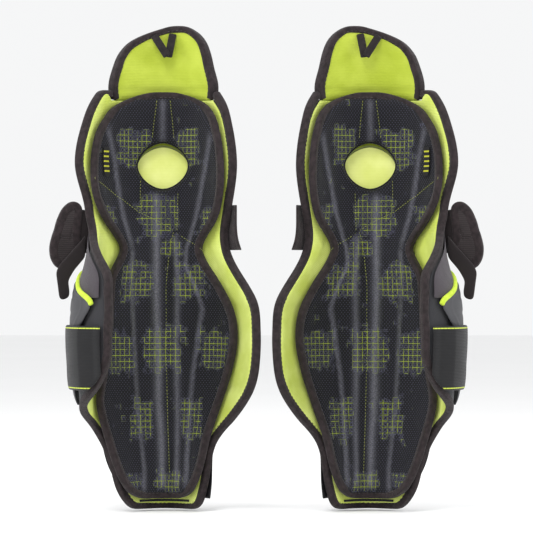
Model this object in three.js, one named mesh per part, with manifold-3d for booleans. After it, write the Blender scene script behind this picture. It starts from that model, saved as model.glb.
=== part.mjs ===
// A pair of ice hockey shin guards standing on their lower hems, seen from behind in the XZ plane.
// Millimetres. +X is the wearer's right, +Y is forward (the plastic shells), +Z is up.
// One guard is drawn for the right leg, with its lateral side on +x, and mirrored for the left leg.
import * as THREE from "three";
import { mergeVertices } from "three/addons/utils/BufferGeometryUtils.js";
import Module from "manifold-3d";

const wasm = await Module();
wasm.setup();

// Driving dimensions
const HEIGHT = 538; // hem to the top of the thigh flap
const HALF_WIDTH = 106; // centre line to the edge of the medial wing, the widest point
const MEDIAL_GAP = 12; // between the two guards' medial wings
const DRAWN_HEIGHT = 538; // the sizes that the outline tables below are drawn at
const DRAWN_HALF_WIDTH = 106;
const ORIGIN_DEPTH = 1.48; // moves the sections so that the pair is centred on y = 0

const WRAP_THICKNESS = 10; // foam wrap with its fabric
const LINER_THICKNESS = 9;
const PATCH_THICKNESS = 2; // hook patches and the knee cup's lining
const FLAP_THICKNESS = 10;
const SHELL_THICKNESS = 3;
const SHELL_GAP = 1.8; // plastic shells to wrap, over the bead of its binding
const CALF_STANDOFF = 1.6; // calf plate beyond the shin shell's own depth, over the wing's bead
const KNEE_FLOAT = 4; // knee shell to wrap
const RIDGE_HEIGHT = 4; // spine of the shin shell
const BINDING_WIDTH = 5; // bead of binding past the edge of the foam
const BINDING_PROUD = 1; // bead past each face of the foam
const STRAP_THICKNESS = 2.5;
const CALF_STRAP_WIDTH = 70;
const STRAP_STANDOFF = 2; // calf strap to calf plate
const KNEE_HOLE_RADIUS = 27.5;
const KNEE_HOLE_CENTRE = [3.5, 382]; // lateral, up
const WEBBING_WIDTH = 9; // pull loop
const WEBBING_THICKNESS = 1.5;
const LOOP_CLEARANCE = 4; // middle of the webbing behind the flap
const FIT_GAP = 0.3; // between pieces that touch
const BINDING_GAP = 1; // between the foam and the inside of its binding
const FLAP_GAP = 4; // flap's binding above the wrap's horns, room to tilt
const SEAM_ROOM = 3; // flap above the bottom of its notch
const TAG_THICKNESS = 1;
const LOOP_THICKNESS = 1; // loop fabric on the shin shell
const WEB_THICKNESS = 1.5; // knee shell's elastic web, gusset
const PIPING_WIDTH = 5;
const PIPING_LOW = 227;
const KNEE_STRAP_THICKNESS = 7;
const FOLD_THICKNESS = 2; // folded end of the knee strap
const RIVET_RADIUS = 4;
const RIVET_TOP_RADIUS = 2.8;
const RIVET_HEIGHT = 1.6;

const tall = HEIGHT / DRAWN_HEIGHT;
const wide = HALF_WIDTH / DRAWN_HALF_WIDTH;
const degrees = Math.PI / 180;

// A smooth curve through [height, value] pairs, made of cubic pieces. The slope at each point is the
// slope of the parabola through it and its two neighbours.
function curve(...points) {
  const h = points.map((p) => p[0]);
  const v = points.map((p) => p[1]);
  const slope = h.slice(1).map((x, i) => (v[i + 1] - v[i]) / (x - h[i]));
  const last = h.length - 1;
  const tangent = h.map((x, i) => {
    if (i === 0) return slope[0];
    if (i === last) return slope[last - 1];
    const before = x - h[i - 1];
    const after = h[i + 1] - x;
    return (slope[i - 1] * after + slope[i] * before) / (before + after);
  });
  return (z) => {
    if (z <= h[0]) return v[0];
    if (z >= h[last]) return v[last];
    const i = h.findIndex((x, k) => z >= x && z <= h[k + 1]);
    const step = h[i + 1] - h[i];
    const t = (z - h[i]) / step;
    const a = v[i] * (1 + 2 * t) * (1 - t) ** 2 + tangent[i] * step * t * (1 - t) ** 2;
    return a + v[i + 1] * t * t * (3 - 2 * t) - tangent[i + 1] * step * t * t * (1 - t);
  };
}

// The leg-side face of the wrap. Each level is two quarter ellipses that share the shin's front point:
// an angle runs from 0 at the front to the side, lateral positive and medial negative.
const frontDepth = curve([0, 30], [60, 36], [130, 41], [200, 45], [290, 47], [330, 53], [385, 62],
  [430, 58], [465, 49], [500, 44], [538, 40]);
const lateralReach = curve([0, 48], [30, 58], [60, 68], [100, 80], [130, 83], [200, 87], [240, 84],
  [270, 75], [300, 71], [330, 80], [385, 92], [430, 87], [465, 78], [538, 70]);
const medialReach = curve([0, 46], [30, 52], [60, 58], [100, 80], [130, 93], [170, 99], [200, 101],
  [240, 97], [270, 86], [300, 74], [330, 72], [385, 76], [430, 72], [465, 66], [538, 62]);
const lateralDepth = curve([0, 80], [60, 72], [100, 66], [130, 64], [200, 66], [250, 66], [300, 66],
  [330, 78], [385, 100], [430, 88], [465, 66], [538, 46]);
const medialDepth = curve([0, 80], [60, 74], [100, 86], [130, 98], [200, 104], [250, 96], [300, 76],
  [330, 80], [385, 100], [430, 88], [465, 66], [538, 46]);

// The point at an angle and height, pushed outwards from the leg by offset.
function roundSection(angle, z, offset) {
  const drawn = z / tall;
  const a = wide * (angle > 0 ? lateralReach(drawn) : medialReach(drawn));
  const b = wide * (angle > 0 ? lateralDepth(drawn) : medialDepth(drawn));
  const front = wide * (frontDepth(drawn) + ORIGIN_DEPTH);
  const normal = new THREE.Vector2(b * Math.sin(angle), a * Math.cos(angle)).normalize();
  return new THREE.Vector3(
    a * Math.sin(angle) + offset * normal.x,
    front - b * (1 - Math.cos(angle)) + offset * normal.y,
    z,
  );
}

// Every layer lies on the same facets, so that the gap between two layers is the same all over.
const FACET_ANGLE = 15 * degrees;
const facetLevels = [0, 3, 10, 20, 40, 65, 90, 106, 124, 145, 170, 200, 228, 238, 250, 270, 288, 300, 318,
  345, 385, 415, 436, 450, 461, 472, 488, 505, 518, 528, 534, 538].map((z) => z * tall);
function facetRow(z) {
  const above = Math.max(1, facetLevels.findIndex((level) => level >= z));
  const low = facetLevels[above - 1];
  const high = facetLevels[above];
  return { low, high, up: (z - low) / (high - low) };
}
function section(angle, z, offset) {
  const column = Math.floor(angle / FACET_ANGLE);
  const across = angle / FACET_ANGLE - column;
  const { low, high, up } = facetRow(z);
  const row = (level) => {
    const from = roundSection(column * FACET_ANGLE, level, offset);
    return from.lerp(roundSection((column + 1) * FACET_ANGLE, level, offset), across);
  };
  return row(low).lerp(row(high), up);
}
// Millimetres along the section per radian of its angle.
function rateAt(angle, z) {
  const step = degrees;
  return roundSection(angle, z, 0).distanceTo(roundSection(angle + step, z, 0)) / step;
}

// The angle, within a quarter turn, at which the face at an offset reaches a distance from the centre.
function angleAt(reach, z, offset) {
  const side = Math.sign(reach) || 1;
  let low = 0;
  let high = Math.PI / 2;
  for (let i = 0; i < 24; i++) {
    const mid = (low + high) / 2;
    if (side * section(side * mid, z, offset).x < side * reach) low = mid;
    else high = mid;
  }
  return side * low;
}

// An outline is a pair of functions of height that give its medial and lateral angles.
const byAngle = (medial, lateral) => ({
  medial: (z) => -degrees * medial(z / tall),
  lateral: (z) => degrees * lateral(z / tall),
});
const byReach = (medial, lateral, offset) => ({
  medial: (z) => angleAt(-wide * medial(z / tall), z, offset),
  lateral: (z) => angleAt(wide * lateral(z / tall), z, offset),
});
const inset = (outline, distance) => ({
  medial: (z) => outline.medial(z) + distance / rateAt(outline.medial(z), z),
  lateral: (z) => outline.lateral(z) - distance / rateAt(outline.lateral(z), z),
});

const wrapOutline = byAngle(
  curve([0, 32], [3, 38], [10, 44.5], [20, 47], [50, 49.5], [80, 48.5], [90, 51.6], [100, 57], [120, 65],
    [150, 73], [200, 71.5], [230, 69.5], [250, 62], [280, 54], [300, 55.5], [350, 65.5], [385, 66.5],
    [430, 62.5], [450, 59], [466, 50]),
  curve([0, 32], [3, 38], [10, 45.5], [20, 51], [50, 54], [80, 60], [100, 72], [115, 94], [130, 118],
    [160, 138], [200, 142], [240, 141], [265, 134], [285, 114], [305, 88], [330, 75], [385, 74],
    [430, 68.5], [450, 65], [466, 58]),
);
const linerOutline = byReach(
  curve([13, 18], [20, 30.5], [30, 37], [50, 44.5], [80, 51], [120, 64.5], [160, 77], [190, 82],
    [220, 78.5], [250, 63.5], [280, 44.5], [290, 41], [300, 45], [320, 58], [360, 67], [380, 67],
    [420, 62], [440, 55], [450, 46], [460, 22], [463, 10]),
  curve([13, 26], [20, 40], [30, 48], [50, 57], [80, 67], [100, 73], [120, 77], [150, 74], [200, 68],
    [240, 66], [262, 63.5], [280, 54.5], [290, 51], [300, 56], [320, 69], [340, 78], [380, 83.5],
    [400, 82], [430, 72], [450, 53.5], [460, 28], [463, 14]),
  -PATCH_THICKNESS,
);
const flapOutline = byReach(
  curve([455, 50], [470, 51], [490, 47], [510, 43], [520, 39.5], [530, 32], [535, 25], [538, 20]),
  curve([455, 56], [470, 57], [490, 53], [510, 45], [520, 36], [530, 16], [535, 0.5], [538, -8]),
  0,
);

// A closed piece of the section between two offsets, from one height to another, inside an outline.
function slab(outline, low, high, innerOffset, outerOffset) {
  const offsets = [innerOffset, outerOffset].map((o) => (typeof o === "function" ? o : () => o));
  const heights = [low, ...facetLevels.filter((z) => z > low + 1 && z < high - 1), high];
  const rows = heights.map((z) => {
    const facet = facetRow(z);
    const [from, to] = [outline.medial, outline.lateral].map((edge) =>
      THREE.MathUtils.lerp(edge(facet.low), edge(facet.high), facet.up),
    );
    const row = [from];
    for (let k = Math.ceil((from + degrees) / FACET_ANGLE); k * FACET_ANGLE < to - degrees; k++)
      row.push(k * FACET_ANGLE);
    row.push(to);
    return row;
  });
  const positions = [];
  const starts = offsets.map((offset) =>
    rows.map((row, i) => {
      const start = positions.length / 3;
      for (const angle of row) positions.push(...section(angle, heights[i], offset(angle)).toArray());
      return start;
    }),
  );
  const index = [];
  const face = (side, a, b, c) => (side === 0 ? index.push(a, b, c) : index.push(a, c, b));
  for (let i = 0; i < rows.length - 1; i++) {
    const lower = rows[i];
    const upper = rows[i + 1];
    for (const side of [0, 1]) {
      const at = starts[side][i];
      const up = starts[side][i + 1];
      let j = 0;
      let k = 0;
      while (j < lower.length - 1 || k < upper.length - 1) {
        const lowerNext = j < lower.length - 1 && lower[j + 1] <= upper[k + 1] + 1e-9;
        if (k === upper.length - 1 || lowerNext) {
          face(side, at + j, at + j + 1, up + k);
          j++;
        } else {
          face(side, at + j, up + k + 1, up + k);
          k++;
        }
      }
    }
  }
  const join = (a, b, c, d) => index.push(a, b, c, a, c, d);
  for (let i = 0; i < rows.length - 1; i++) {
    const [inner, outer] = starts;
    const lastLow = rows[i].length - 1;
    const lastUp = rows[i + 1].length - 1;
    join(inner[i], inner[i + 1], outer[i + 1], outer[i]);
    join(inner[i] + lastLow, outer[i] + lastLow, outer[i + 1] + lastUp, inner[i + 1] + lastUp);
  }
  for (const i of [0, rows.length - 1])
    for (let j = 0; j < rows[i].length - 1; j++) {
      const [a, b] = [starts[0][i] + j, starts[1][i] + j];
      if (i === 0) join(a, b, b + 1, a + 1);
      else join(a, a + 1, b + 1, b);
    }
  const geometry = new THREE.BufferGeometry();
  geometry.setAttribute("position", new THREE.Float32BufferAttribute(positions, 3));
  geometry.setIndex(index);
  return solid(geometry);
}

// A three.js geometry as a manifold-3d solid, and back.
function solid(geometry) {
  const bare = geometry.clone();
  bare.deleteAttribute("normal");
  bare.deleteAttribute("uv");
  const merged = mergeVertices(bare, 1e-4);
  return new wasm.Manifold(new wasm.Mesh({
    numProp: 3,
    vertProperties: new Float32Array(merged.attributes.position.array),
    triVerts: new Uint32Array(merged.index.array),
  }));
}
function geometryOf(body) {
  const mesh = body.getMesh();
  const positions = new Float32Array(mesh.numVert * 3);
  for (let i = 0; i < mesh.numVert; i++)
    positions.set(mesh.vertProperties.subarray(i * mesh.numProp, i * mesh.numProp + 3), i * 3);
  const geometry = new THREE.BufferGeometry();
  geometry.setAttribute("position", new THREE.BufferAttribute(positions, 3));
  geometry.setIndex(new THREE.BufferAttribute(mesh.triVerts, 1));
  return geometry;
}
function block(low, high) {
  const size = new THREE.Vector3().subVectors(high, low);
  const box = new THREE.BoxGeometry(size.x, size.y, size.z);
  return solid(box.translate(low.x + size.x / 2, low.y + size.y / 2, low.z + size.z / 2));
}

// Materials
const material = (color, roughness, metalness = 0) =>
  new THREE.MeshStandardMaterial({ color, roughness, metalness });
const LIME = material(0xcbe04f, 0.85);
const PIPING = material(0xc2ea26, 0.8);
const LINER_MESH = material(0x1d1d24, 0.8);
const TAPE = material(0x3b3235, 0.9);
const GREY_FABRIC = material(0x4d474d, 0.9);
const BLACK_PLASTIC = material(0x1e1f21, 0.4);
const GREY_PLASTIC = material(0x3a3b3e, 0.45);
const BLACK_ELASTIC = material(0x222223, 0.9);
const WEBBING = material(0x2b2728, 0.85);
const STEEL = material(0x8a8c90, 0.3, 1);
const LABEL = material(0x2a2a2a, 0.7);

const FAR = 200; // longer than any guard is deep
const SEW_GAP = 0.6; // between curved layers that are sewn or stuck together

const at = (x, y, z) => new THREE.Vector3(x, y, z);
const turned = (x, y, z, yaw = 0, pitch = 0) =>
  new THREE.Matrix4().makeRotationFromEuler(new THREE.Euler(pitch, 0, yaw, "ZYX")).setPosition(x, y, z);

// A flat piece cut from an outline of [across, up] points, smooth or straight, centred on its own plane.
function cutout(points, thickness, place, smooth = true) {
  const corners = points.map(([x, y]) => new THREE.Vector2(x * wide, y * tall));
  const around = new THREE.SplineCurve([...corners, corners[0]]);
  const shape = new THREE.Shape(smooth ? around.getPoints(2 * corners.length).slice(1) : corners);
  const geometry = new THREE.ExtrudeGeometry(shape, { depth: thickness, bevelEnabled: false });
  geometry.translate(0, 0, -thickness / 2);
  geometry.rotateX(90 * degrees); // the outline stands up, its thickness along y
  return solid(geometry.applyMatrix4(place));
}

// A rectangle of the section between two heights and two angles, in degrees to each side of the front.
const patch = ({ low, high, medial, lateral }, inner, outer) =>
  slab(byAngle(() => medial, () => lateral), low * tall, high * tall, inner, outer);

// The bead of binding round the edge of a piece that make(edge, inner, outer) draws.
function bound(make, inner, outer) {
  const around = make(0, inner - BINDING_PROUD, outer + BINDING_PROUD);
  const past = 2 * BINDING_PROUD;
  return around.subtract(make(BINDING_WIDTH - BINDING_GAP, inner - past, outer + past));
}

// The foam wrap: shin, calf wings and knee, with a notch at the top where the thigh flap is sewn in.
const HORN_TOP = 466 * tall;
const SEAM_HEIGHT = 452 * tall;
const FLAP_HALF_SPAN = 60 * wide;
const notch = (half) => block(at(-half, -FAR, SEAM_HEIGHT), at(half, FAR, HEIGHT + FAR));
const wrap = (edge, inner, outer) => slab(inset(wrapOutline, edge), edge, HORN_TOP - edge, inner, outer);
const wrapPad = () => wrap(BINDING_WIDTH, 0, WRAP_THICKNESS).subtract(notch(FLAP_HALF_SPAN));
const wrapBinding = () => bound(wrap, 0, WRAP_THICKNESS).subtract(notch(FLAP_HALF_SPAN + FIT_GAP));

// The removable liner: a knee panel with the kneecap hole and a shin panel, sewn together at the waist.
const LINER_FRONT = -(PATCH_THICKNESS + 2 * SEW_GAP);
const LINER_BACK = LINER_FRONT - LINER_THICKNESS;
const LINER_LOW = 13 * tall;
const LINER_HIGH = 463 * tall;
const LINER_WAIST = 300 * tall;
const kneeHole = () => {
  const bore = new THREE.CylinderGeometry(KNEE_HOLE_RADIUS, KNEE_HOLE_RADIUS, 2 * FAR, 24);
  return solid(bore.translate(KNEE_HOLE_CENTRE[0] * wide, 0, KNEE_HOLE_CENTRE[1] * tall));
};
const liner = (edge, inner, outer) =>
  slab(inset(linerOutline, edge), LINER_LOW + edge, LINER_HIGH - edge, inner, outer);
const linerPanel = (low, high) =>
  slab(inset(linerOutline, BINDING_WIDTH), low, high, LINER_BACK, LINER_FRONT);
const linerKneePanel = () =>
  linerPanel(LINER_WAIST + FIT_GAP, LINER_HIGH - BINDING_WIDTH).subtract(kneeHole());
const linerShinPanel = () => linerPanel(LINER_LOW + BINDING_WIDTH, LINER_WAIST);
const linerBinding = () => bound(liner, LINER_BACK, LINER_FRONT - BINDING_PROUD + SEW_GAP);
const hookPatch = (place) => () => patch(place, -SEW_GAP - PATCH_THICKNESS, -SEW_GAP);
const TAG_BACK = LINER_BACK - SEW_GAP - TAG_THICKNESS;
const sideTag = () =>
  patch({ low: 370, high: 402, medial: -54, lateral: 61 }, TAG_BACK, LINER_BACK - SEW_GAP);

// The thigh flap: sewn into the notch, free of the wrap's horns above the seam.
const FLAP_SIDE_LOW = HORN_TOP + FLAP_GAP;
const flap = (edge, inner, outer) => {
  const low = edge ? FLAP_SIDE_LOW - 2 * FLAP_GAP : FLAP_SIDE_LOW;
  return slab(inset(flapOutline, edge), low, HEIGHT - edge, inner, outer);
};
const flapPad = () => slab(
  inset(flapOutline, BINDING_WIDTH), SEAM_HEIGHT + SEAM_ROOM, HEIGHT - BINDING_WIDTH, 0, FLAP_THICKNESS);
const flapBinding = () => bound(flap, 0, FLAP_THICKNESS);
const FLAP_PLATE_INNER = FLAP_THICKNESS + 2 * SEW_GAP;
const FLAP_PLATE_MARGIN = 14;
const flapPlate = () => slab(
  inset(flapOutline, FLAP_PLATE_MARGIN), 480 * tall, HEIGHT - FLAP_PLATE_MARGIN,
  FLAP_PLATE_INNER, FLAP_PLATE_INNER + SHELL_THICKNESS);

// The plastic shells: a ridged shin shell, the knee shell above it and a plate on the calf wing.
const SHELL_INNER = WRAP_THICKNESS + SHELL_GAP;
const ridge = (angle) => RIDGE_HEIGHT * Math.max(0, 1 - Math.abs(angle) / FACET_ANGLE);
const shinOutline = byAngle(
  curve([14, 52], [30, 51], [50, 48.5], [70, 45], [100, 46], [200, 44], [280, 44], [300, 38], [310, 26]),
  curve([14, 34], [30, 46], [100, 54], [200, 54], [280, 52], [300, 42], [310, 28]),
);
const SHIN_SHELL_LOW = 14 * tall;
const SHIN_SHELL_HIGH = 310 * tall;
const shinShell = () => slab(
  shinOutline, SHIN_SHELL_LOW, SHIN_SHELL_HIGH,
  SHELL_INNER, (angle) => SHELL_INNER + SHELL_THICKNESS + ridge(angle));
const KNEE_SHELL_INNER = WRAP_THICKNESS + KNEE_FLOAT;
const KNEE_SHELL_LOW = 320 * tall;
const KNEE_SHELL_HIGH = 448 * tall;
const kneeOutline = byAngle(
  curve([320, 26], [332, 40], [360, 50], [400, 51], [430, 42], [448, 20]),
  curve([320, 28], [332, 42], [360, 52], [400, 52], [430, 44], [448, 24]),
);
const kneeShell = () =>
  slab(kneeOutline, KNEE_SHELL_LOW, KNEE_SHELL_HIGH, KNEE_SHELL_INNER, KNEE_SHELL_INNER + SHELL_THICKNESS);
const WEB_INNER = WRAP_THICKNESS + SEW_GAP;
const RIVET_LEVEL = 404 * tall; // the middle of the web that holds the knee shell
const RIVET_ANGLE = 9; // degrees to each side of the front
const kneeWeb = () =>
  patch({ low: 392, high: 416, medial: 14, lateral: 14 }, WEB_INNER, WEB_INNER + WEB_THICKNESS);

const CALF_LOW = 118 * tall;
const CALF_HIGH = 268 * tall;
const CALF_START = 62; // degrees, where the plate begins beside the shin shell
const calfEdge = curve([118, 84], [135, 98], [165, 112], [200, 117], [216, 126], [228, 131], [236, 128],
  [247, 110], [257, 96], [268, 76]);
const calf = (edge, inner, outer, from = CALF_START) => slab(
  { medial: () => from * degrees, lateral: (z) => inset(byAngle(() => 0, calfEdge), edge).lateral(z) },
  CALF_LOW, CALF_HIGH - edge, inner, outer);
const CALF_INNER = SHELL_INNER + CALF_STANDOFF;
const CALF_OUTER = CALF_INNER + SHELL_THICKNESS;
const calfPlate = () => calf(PIPING_WIDTH, CALF_INNER, CALF_OUTER);
function calfPiping() {
  const lower = block(at(-FAR, -FAR, 0), at(FAR, FAR, PIPING_LOW * tall));
  const edge = calf(0, CALF_INNER, CALF_OUTER + BINDING_PROUD);
  const before = CALF_START - 12; // the cut starts short of the plate, so that it goes right through
  const cut = PIPING_WIDTH - BINDING_GAP;
  const inside = calf(cut, CALF_INNER - FIT_GAP, CALF_OUTER + 2 * BINDING_PROUD, before);
  return edge.subtract(inside).subtract(lower);
}
// A grey gusset closes the waist between the calf wing and the knee, and carries the knee strap.
const gusset = () =>
  patch({ low: 272, high: 318, medial: -60, lateral: 80 }, SHELL_INNER, SHELL_INNER + WEB_THICKNESS);
const medialTab = () =>
  patch({ low: 288, high: 338, medial: 68, lateral: -50 }, SHELL_INNER, SHELL_INNER + STRAP_THICKNESS);

// The wide elastic calf strap, from its anchor near the calf wing's edge round to the front of the shin.
const STRAP_INNER = CALF_OUTER + STRAP_STANDOFF;
const STRAP_DROP = 5.6; // the strap comes down to the wing past the calf plate
const STRAP_DROP_START = 120; // degrees
const STRAP_END = 131; // degrees
const STRAP_MIDDLE = 171;
const STRAP_LOW = STRAP_MIDDLE - CALF_STRAP_WIDTH / 2;
const STRAP_HIGH = STRAP_MIDDLE + CALF_STRAP_WIDTH / 2;
const HOOK_TAB_START = 10;
const STRAP_START = 26;
const STRAP_SEAM = 0.5; // degrees between two pieces that are sewn end to end
const HOOK_TAB_MARGIN = 8; // narrower than the strap at each side
const LOOP_MARGIN = 12;
const strapCorner = curve([133, 116], [145, 126], [160, STRAP_END + 3]);
const strapEdge = (drawn) => Math.min(STRAP_END, strapCorner(drawn));
const strapOffset = (angle) => {
  const past = Math.max(0, angle / degrees - STRAP_DROP_START) / (STRAP_END - STRAP_DROP_START);
  return STRAP_INNER - STRAP_DROP * past;
};
const calfStrap = () => slab(
  { medial: () => STRAP_START * degrees, lateral: (z) => strapEdge(z / tall) * degrees },
  STRAP_LOW * tall, STRAP_HIGH * tall, strapOffset, (angle) => strapOffset(angle) + STRAP_THICKNESS);
const strapPiece = (from, to, margin, inner, outer) => patch(
  { low: STRAP_LOW + margin, high: STRAP_HIGH - margin, medial: -from, lateral: to }, inner, outer);
const calfHookTab = () => strapPiece(
  HOOK_TAB_START, STRAP_START - STRAP_SEAM, HOOK_TAB_MARGIN, STRAP_INNER, STRAP_INNER + STRAP_THICKNESS);
const LOOP_INNER = SHELL_INNER + SHELL_THICKNESS + 2 * SEW_GAP;
const calfLoopPatch = () => strapPiece(14, 40, LOOP_MARGIN, LOOP_INNER, LOOP_INNER + LOOP_THICKNESS);
const calfAnchor = () => patch(
  { low: 158, high: 198, medial: -STRAP_END - STRAP_SEAM, lateral: STRAP_END + 5 },
  SHELL_INNER, SHELL_INNER + SHELL_THICKNESS);

// The knee strap's padded end stands out beside the knee, on an anchor sewn to the wrap.
const KNEE_STRAP = { x: 81 * wide + WRAP_THICKNESS + BINDING_PROUD, y: 4.4 * wide, yaw: -16 * degrees };
const strapPlace = turned(KNEE_STRAP.x, KNEE_STRAP.y, 0, KNEE_STRAP.yaw);
const strapEnd = [[0, 290], [0, 340], [9, 344], [19, 337], [28, 321], [34, 304], [36, 288], [34, 276],
  [27, 266], [17, 266], [7, 276]];
const strapEndMiddle = [17, 305];
const shrunk = (points, by) => points.map(([x, z]) => {
  const away = new THREE.Vector2(x - strapEndMiddle[0], z - strapEndMiddle[1]);
  away.setLength(away.length() - by);
  return [strapEndMiddle[0] + away.x, strapEndMiddle[1] + away.y];
});
const kneeStrapPad = () => cutout(shrunk(strapEnd, BINDING_WIDTH), KNEE_STRAP_THICKNESS, strapPlace);
function kneeStrapBinding() {
  const around = cutout(strapEnd, KNEE_STRAP_THICKNESS + 2 * BINDING_PROUD, strapPlace);
  const inside = shrunk(strapEnd, BINDING_WIDTH - BINDING_GAP);
  return around.subtract(cutout(inside, 3 * KNEE_STRAP_THICKNESS, strapPlace));
}
// Its end is folded back over the lower half of the pad, on the side away from the knee.
const FOLD_BACK = -(KNEE_STRAP_THICKNESS / 2 + BINDING_PROUD + FIT_GAP + FOLD_THICKNESS / 2);
const foldOutline = [[2, 298], [13, 286], [26, 271], [31, 266], [29, 250], [26, 233], [15, 236], [16, 254],
  [2, 276]];
const kneeStrapFold = () =>
  cutout(foldOutline, FOLD_THICKNESS, strapPlace.clone().multiply(turned(0, FOLD_BACK, 0)), false);

// The webbing pull loop hangs behind the flap from its top binding.
const LOOP_TOP = 525 * tall;
const loopOutline = [[-17, 524], [-7, 525], [0, 511], [4, 526], [14, 525], [6, 502], [-6, 501]];
const loopBack = section(0, LOOP_TOP, 0).y - LOOP_CLEARANCE;
const pullLoop = () => cutout(loopOutline, WEBBING_THICKNESS, turned(0, loopBack, 0), false);

// A rivet head on the outside of the knee shell, on the line square to the shell.
const RIVET_FOOT = KNEE_SHELL_INNER + SHELL_THICKNESS + SEW_GAP;
const rivet = (angle) => () => {
  const foot = section(angle * degrees, RIVET_LEVEL, RIVET_FOOT);
  const out = section(angle * degrees, RIVET_LEVEL, RIVET_FOOT + 1).sub(foot);
  const head = new THREE.CylinderGeometry(RIVET_TOP_RADIUS, RIVET_RADIUS, RIVET_HEIGHT, 16);
  head.translate(0, RIVET_HEIGHT / 2, 0);
  head.applyQuaternion(new THREE.Quaternion().setFromUnitVectors(at(0, 1, 0), out.normalize()));
  return solid(head.translate(foot.x, foot.y, foot.z));
};

// The pieces of one guard, each with what makes it and its material.
const pieces = {
  wrap_pad: [wrapPad, LIME],
  wrap_binding: [wrapBinding, TAPE],
  liner_knee_panel: [linerKneePanel, LINER_MESH],
  liner_shin_panel: [linerShinPanel, LINER_MESH],
  liner_binding: [linerBinding, TAPE],
  liner_side_tag: [sideTag, LABEL],
  knee_cup_lining: [hookPatch({ low: 345, high: 420, medial: 24, lateral: 26 }), LIME],
  hook_patch_brow: [hookPatch({ low: 428, high: 446, medial: 24, lateral: 26 }), WEBBING],
  hook_patch_calf: [hookPatch({ low: 180, high: 230, medial: 26, lateral: 26 }), WEBBING],
  hook_patch_ankle: [hookPatch({ low: 36, high: 66, medial: 20, lateral: 20 }), WEBBING],
  thigh_flap: [flapPad, LIME],
  thigh_flap_binding: [flapBinding, TAPE],
  thigh_flap_plate: [flapPlate, GREY_PLASTIC],
  pull_loop: [pullLoop, WEBBING],
  shin_shell: [shinShell, BLACK_PLASTIC],
  knee_shell: [kneeShell, BLACK_PLASTIC],
  knee_shell_web: [kneeWeb, WEBBING],
  knee_rivet_medial: [rivet(-RIVET_ANGLE), STEEL],
  knee_rivet_lateral: [rivet(RIVET_ANGLE), STEEL],
  medial_tab: [medialTab, TAPE],
  gusset: [gusset, GREY_FABRIC],
  calf_plate: [calfPlate, GREY_PLASTIC],
  calf_piping: [calfPiping, PIPING],
  calf_strap: [calfStrap, BLACK_ELASTIC],
  calf_strap_hook_tab: [calfHookTab, WEBBING],
  calf_strap_loop_patch: [calfLoopPatch, WEBBING],
  calf_strap_anchor: [calfAnchor, WEBBING],
  knee_strap_pad: [kneeStrapPad, BLACK_ELASTIC],
  knee_strap_binding: [kneeStrapBinding, TAPE],
  knee_strap_fold: [kneeStrapFold, TAPE],
};

function guard(name) {
  const group = new THREE.Group();
  for (const [piece, [make, finish]] of Object.entries(pieces)) {
    const mesh = new THREE.Mesh(geometryOf(make()), finish);
    mesh.name = name + "_" + piece;
    group.add(mesh);
  }
  return group;
}

const pair = new THREE.Group();
const fromCentre = HALF_WIDTH + MEDIAL_GAP / 2;
const right = guard("right");
right.position.x = fromCentre;
const left = guard("left");
left.scale.x = -1;
left.position.x = -fromCentre;
pair.add(right, left);

export default pair;
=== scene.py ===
"""Looks of a pair of hockey shin guards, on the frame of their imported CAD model.

Metres, in the frame's axes: +X is the wearer's right, +Y is forward, +Z is up. Shapes are drawn in
millimetres for the right guard, from its own centre line with the lateral side on +x, and mirrored
for the left.
"""
import math

import bmesh
import bpy
import numpy as np
from mathutils import Matrix, Vector


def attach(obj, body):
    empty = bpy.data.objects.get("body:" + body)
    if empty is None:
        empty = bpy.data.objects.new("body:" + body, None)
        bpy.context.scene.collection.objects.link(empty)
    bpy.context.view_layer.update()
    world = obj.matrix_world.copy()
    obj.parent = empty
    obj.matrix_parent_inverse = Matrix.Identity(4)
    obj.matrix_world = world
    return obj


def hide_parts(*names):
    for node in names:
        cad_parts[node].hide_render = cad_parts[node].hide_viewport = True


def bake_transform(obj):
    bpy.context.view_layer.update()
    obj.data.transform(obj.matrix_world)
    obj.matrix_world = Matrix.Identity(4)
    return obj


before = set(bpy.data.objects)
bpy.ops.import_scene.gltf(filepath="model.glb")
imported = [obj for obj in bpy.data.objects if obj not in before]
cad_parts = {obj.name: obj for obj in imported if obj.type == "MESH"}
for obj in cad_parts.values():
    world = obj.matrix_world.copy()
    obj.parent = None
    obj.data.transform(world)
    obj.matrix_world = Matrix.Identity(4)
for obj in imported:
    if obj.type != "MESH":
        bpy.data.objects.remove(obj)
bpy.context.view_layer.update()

MM = 0.001
SCALE = Matrix.Scale(MM, 4)

# ---------------------------------------------------------------- the leg-side surface

GUARD_CENTRE = 112.0  # from the pair's middle to a guard's centre line
SECTION_DEPTH = 1.48
HEIGHT = 538.0
WRAP_THICKNESS = 10.0
WRAP_LOW = 3.0
HORN_TOP = 466.0
SEAM_HEIGHT = 452.0  # where the flap is sewn on
LINER_FRONT = -3.2  # offsets from the leg-side surface, outwards positive
LINER_BACK = -12.2
LINER_LOW = 13.0
LINER_HIGH = 463.0
PATCH_FACE = -2.6
PATCH_THICKNESS = 2.0
SHELL_INNER = 11.8
SHELL_THICKNESS = 3.0
CALF_INNER = 13.4
SHIN_LOW, SHIN_HIGH = 14.0, 310.0
KNEE_LOW, KNEE_HIGH = 320.0, 448.0
CALF_FRONT = 62.0  # degrees round from the front line
TAPE_STEP = 3.5


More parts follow.
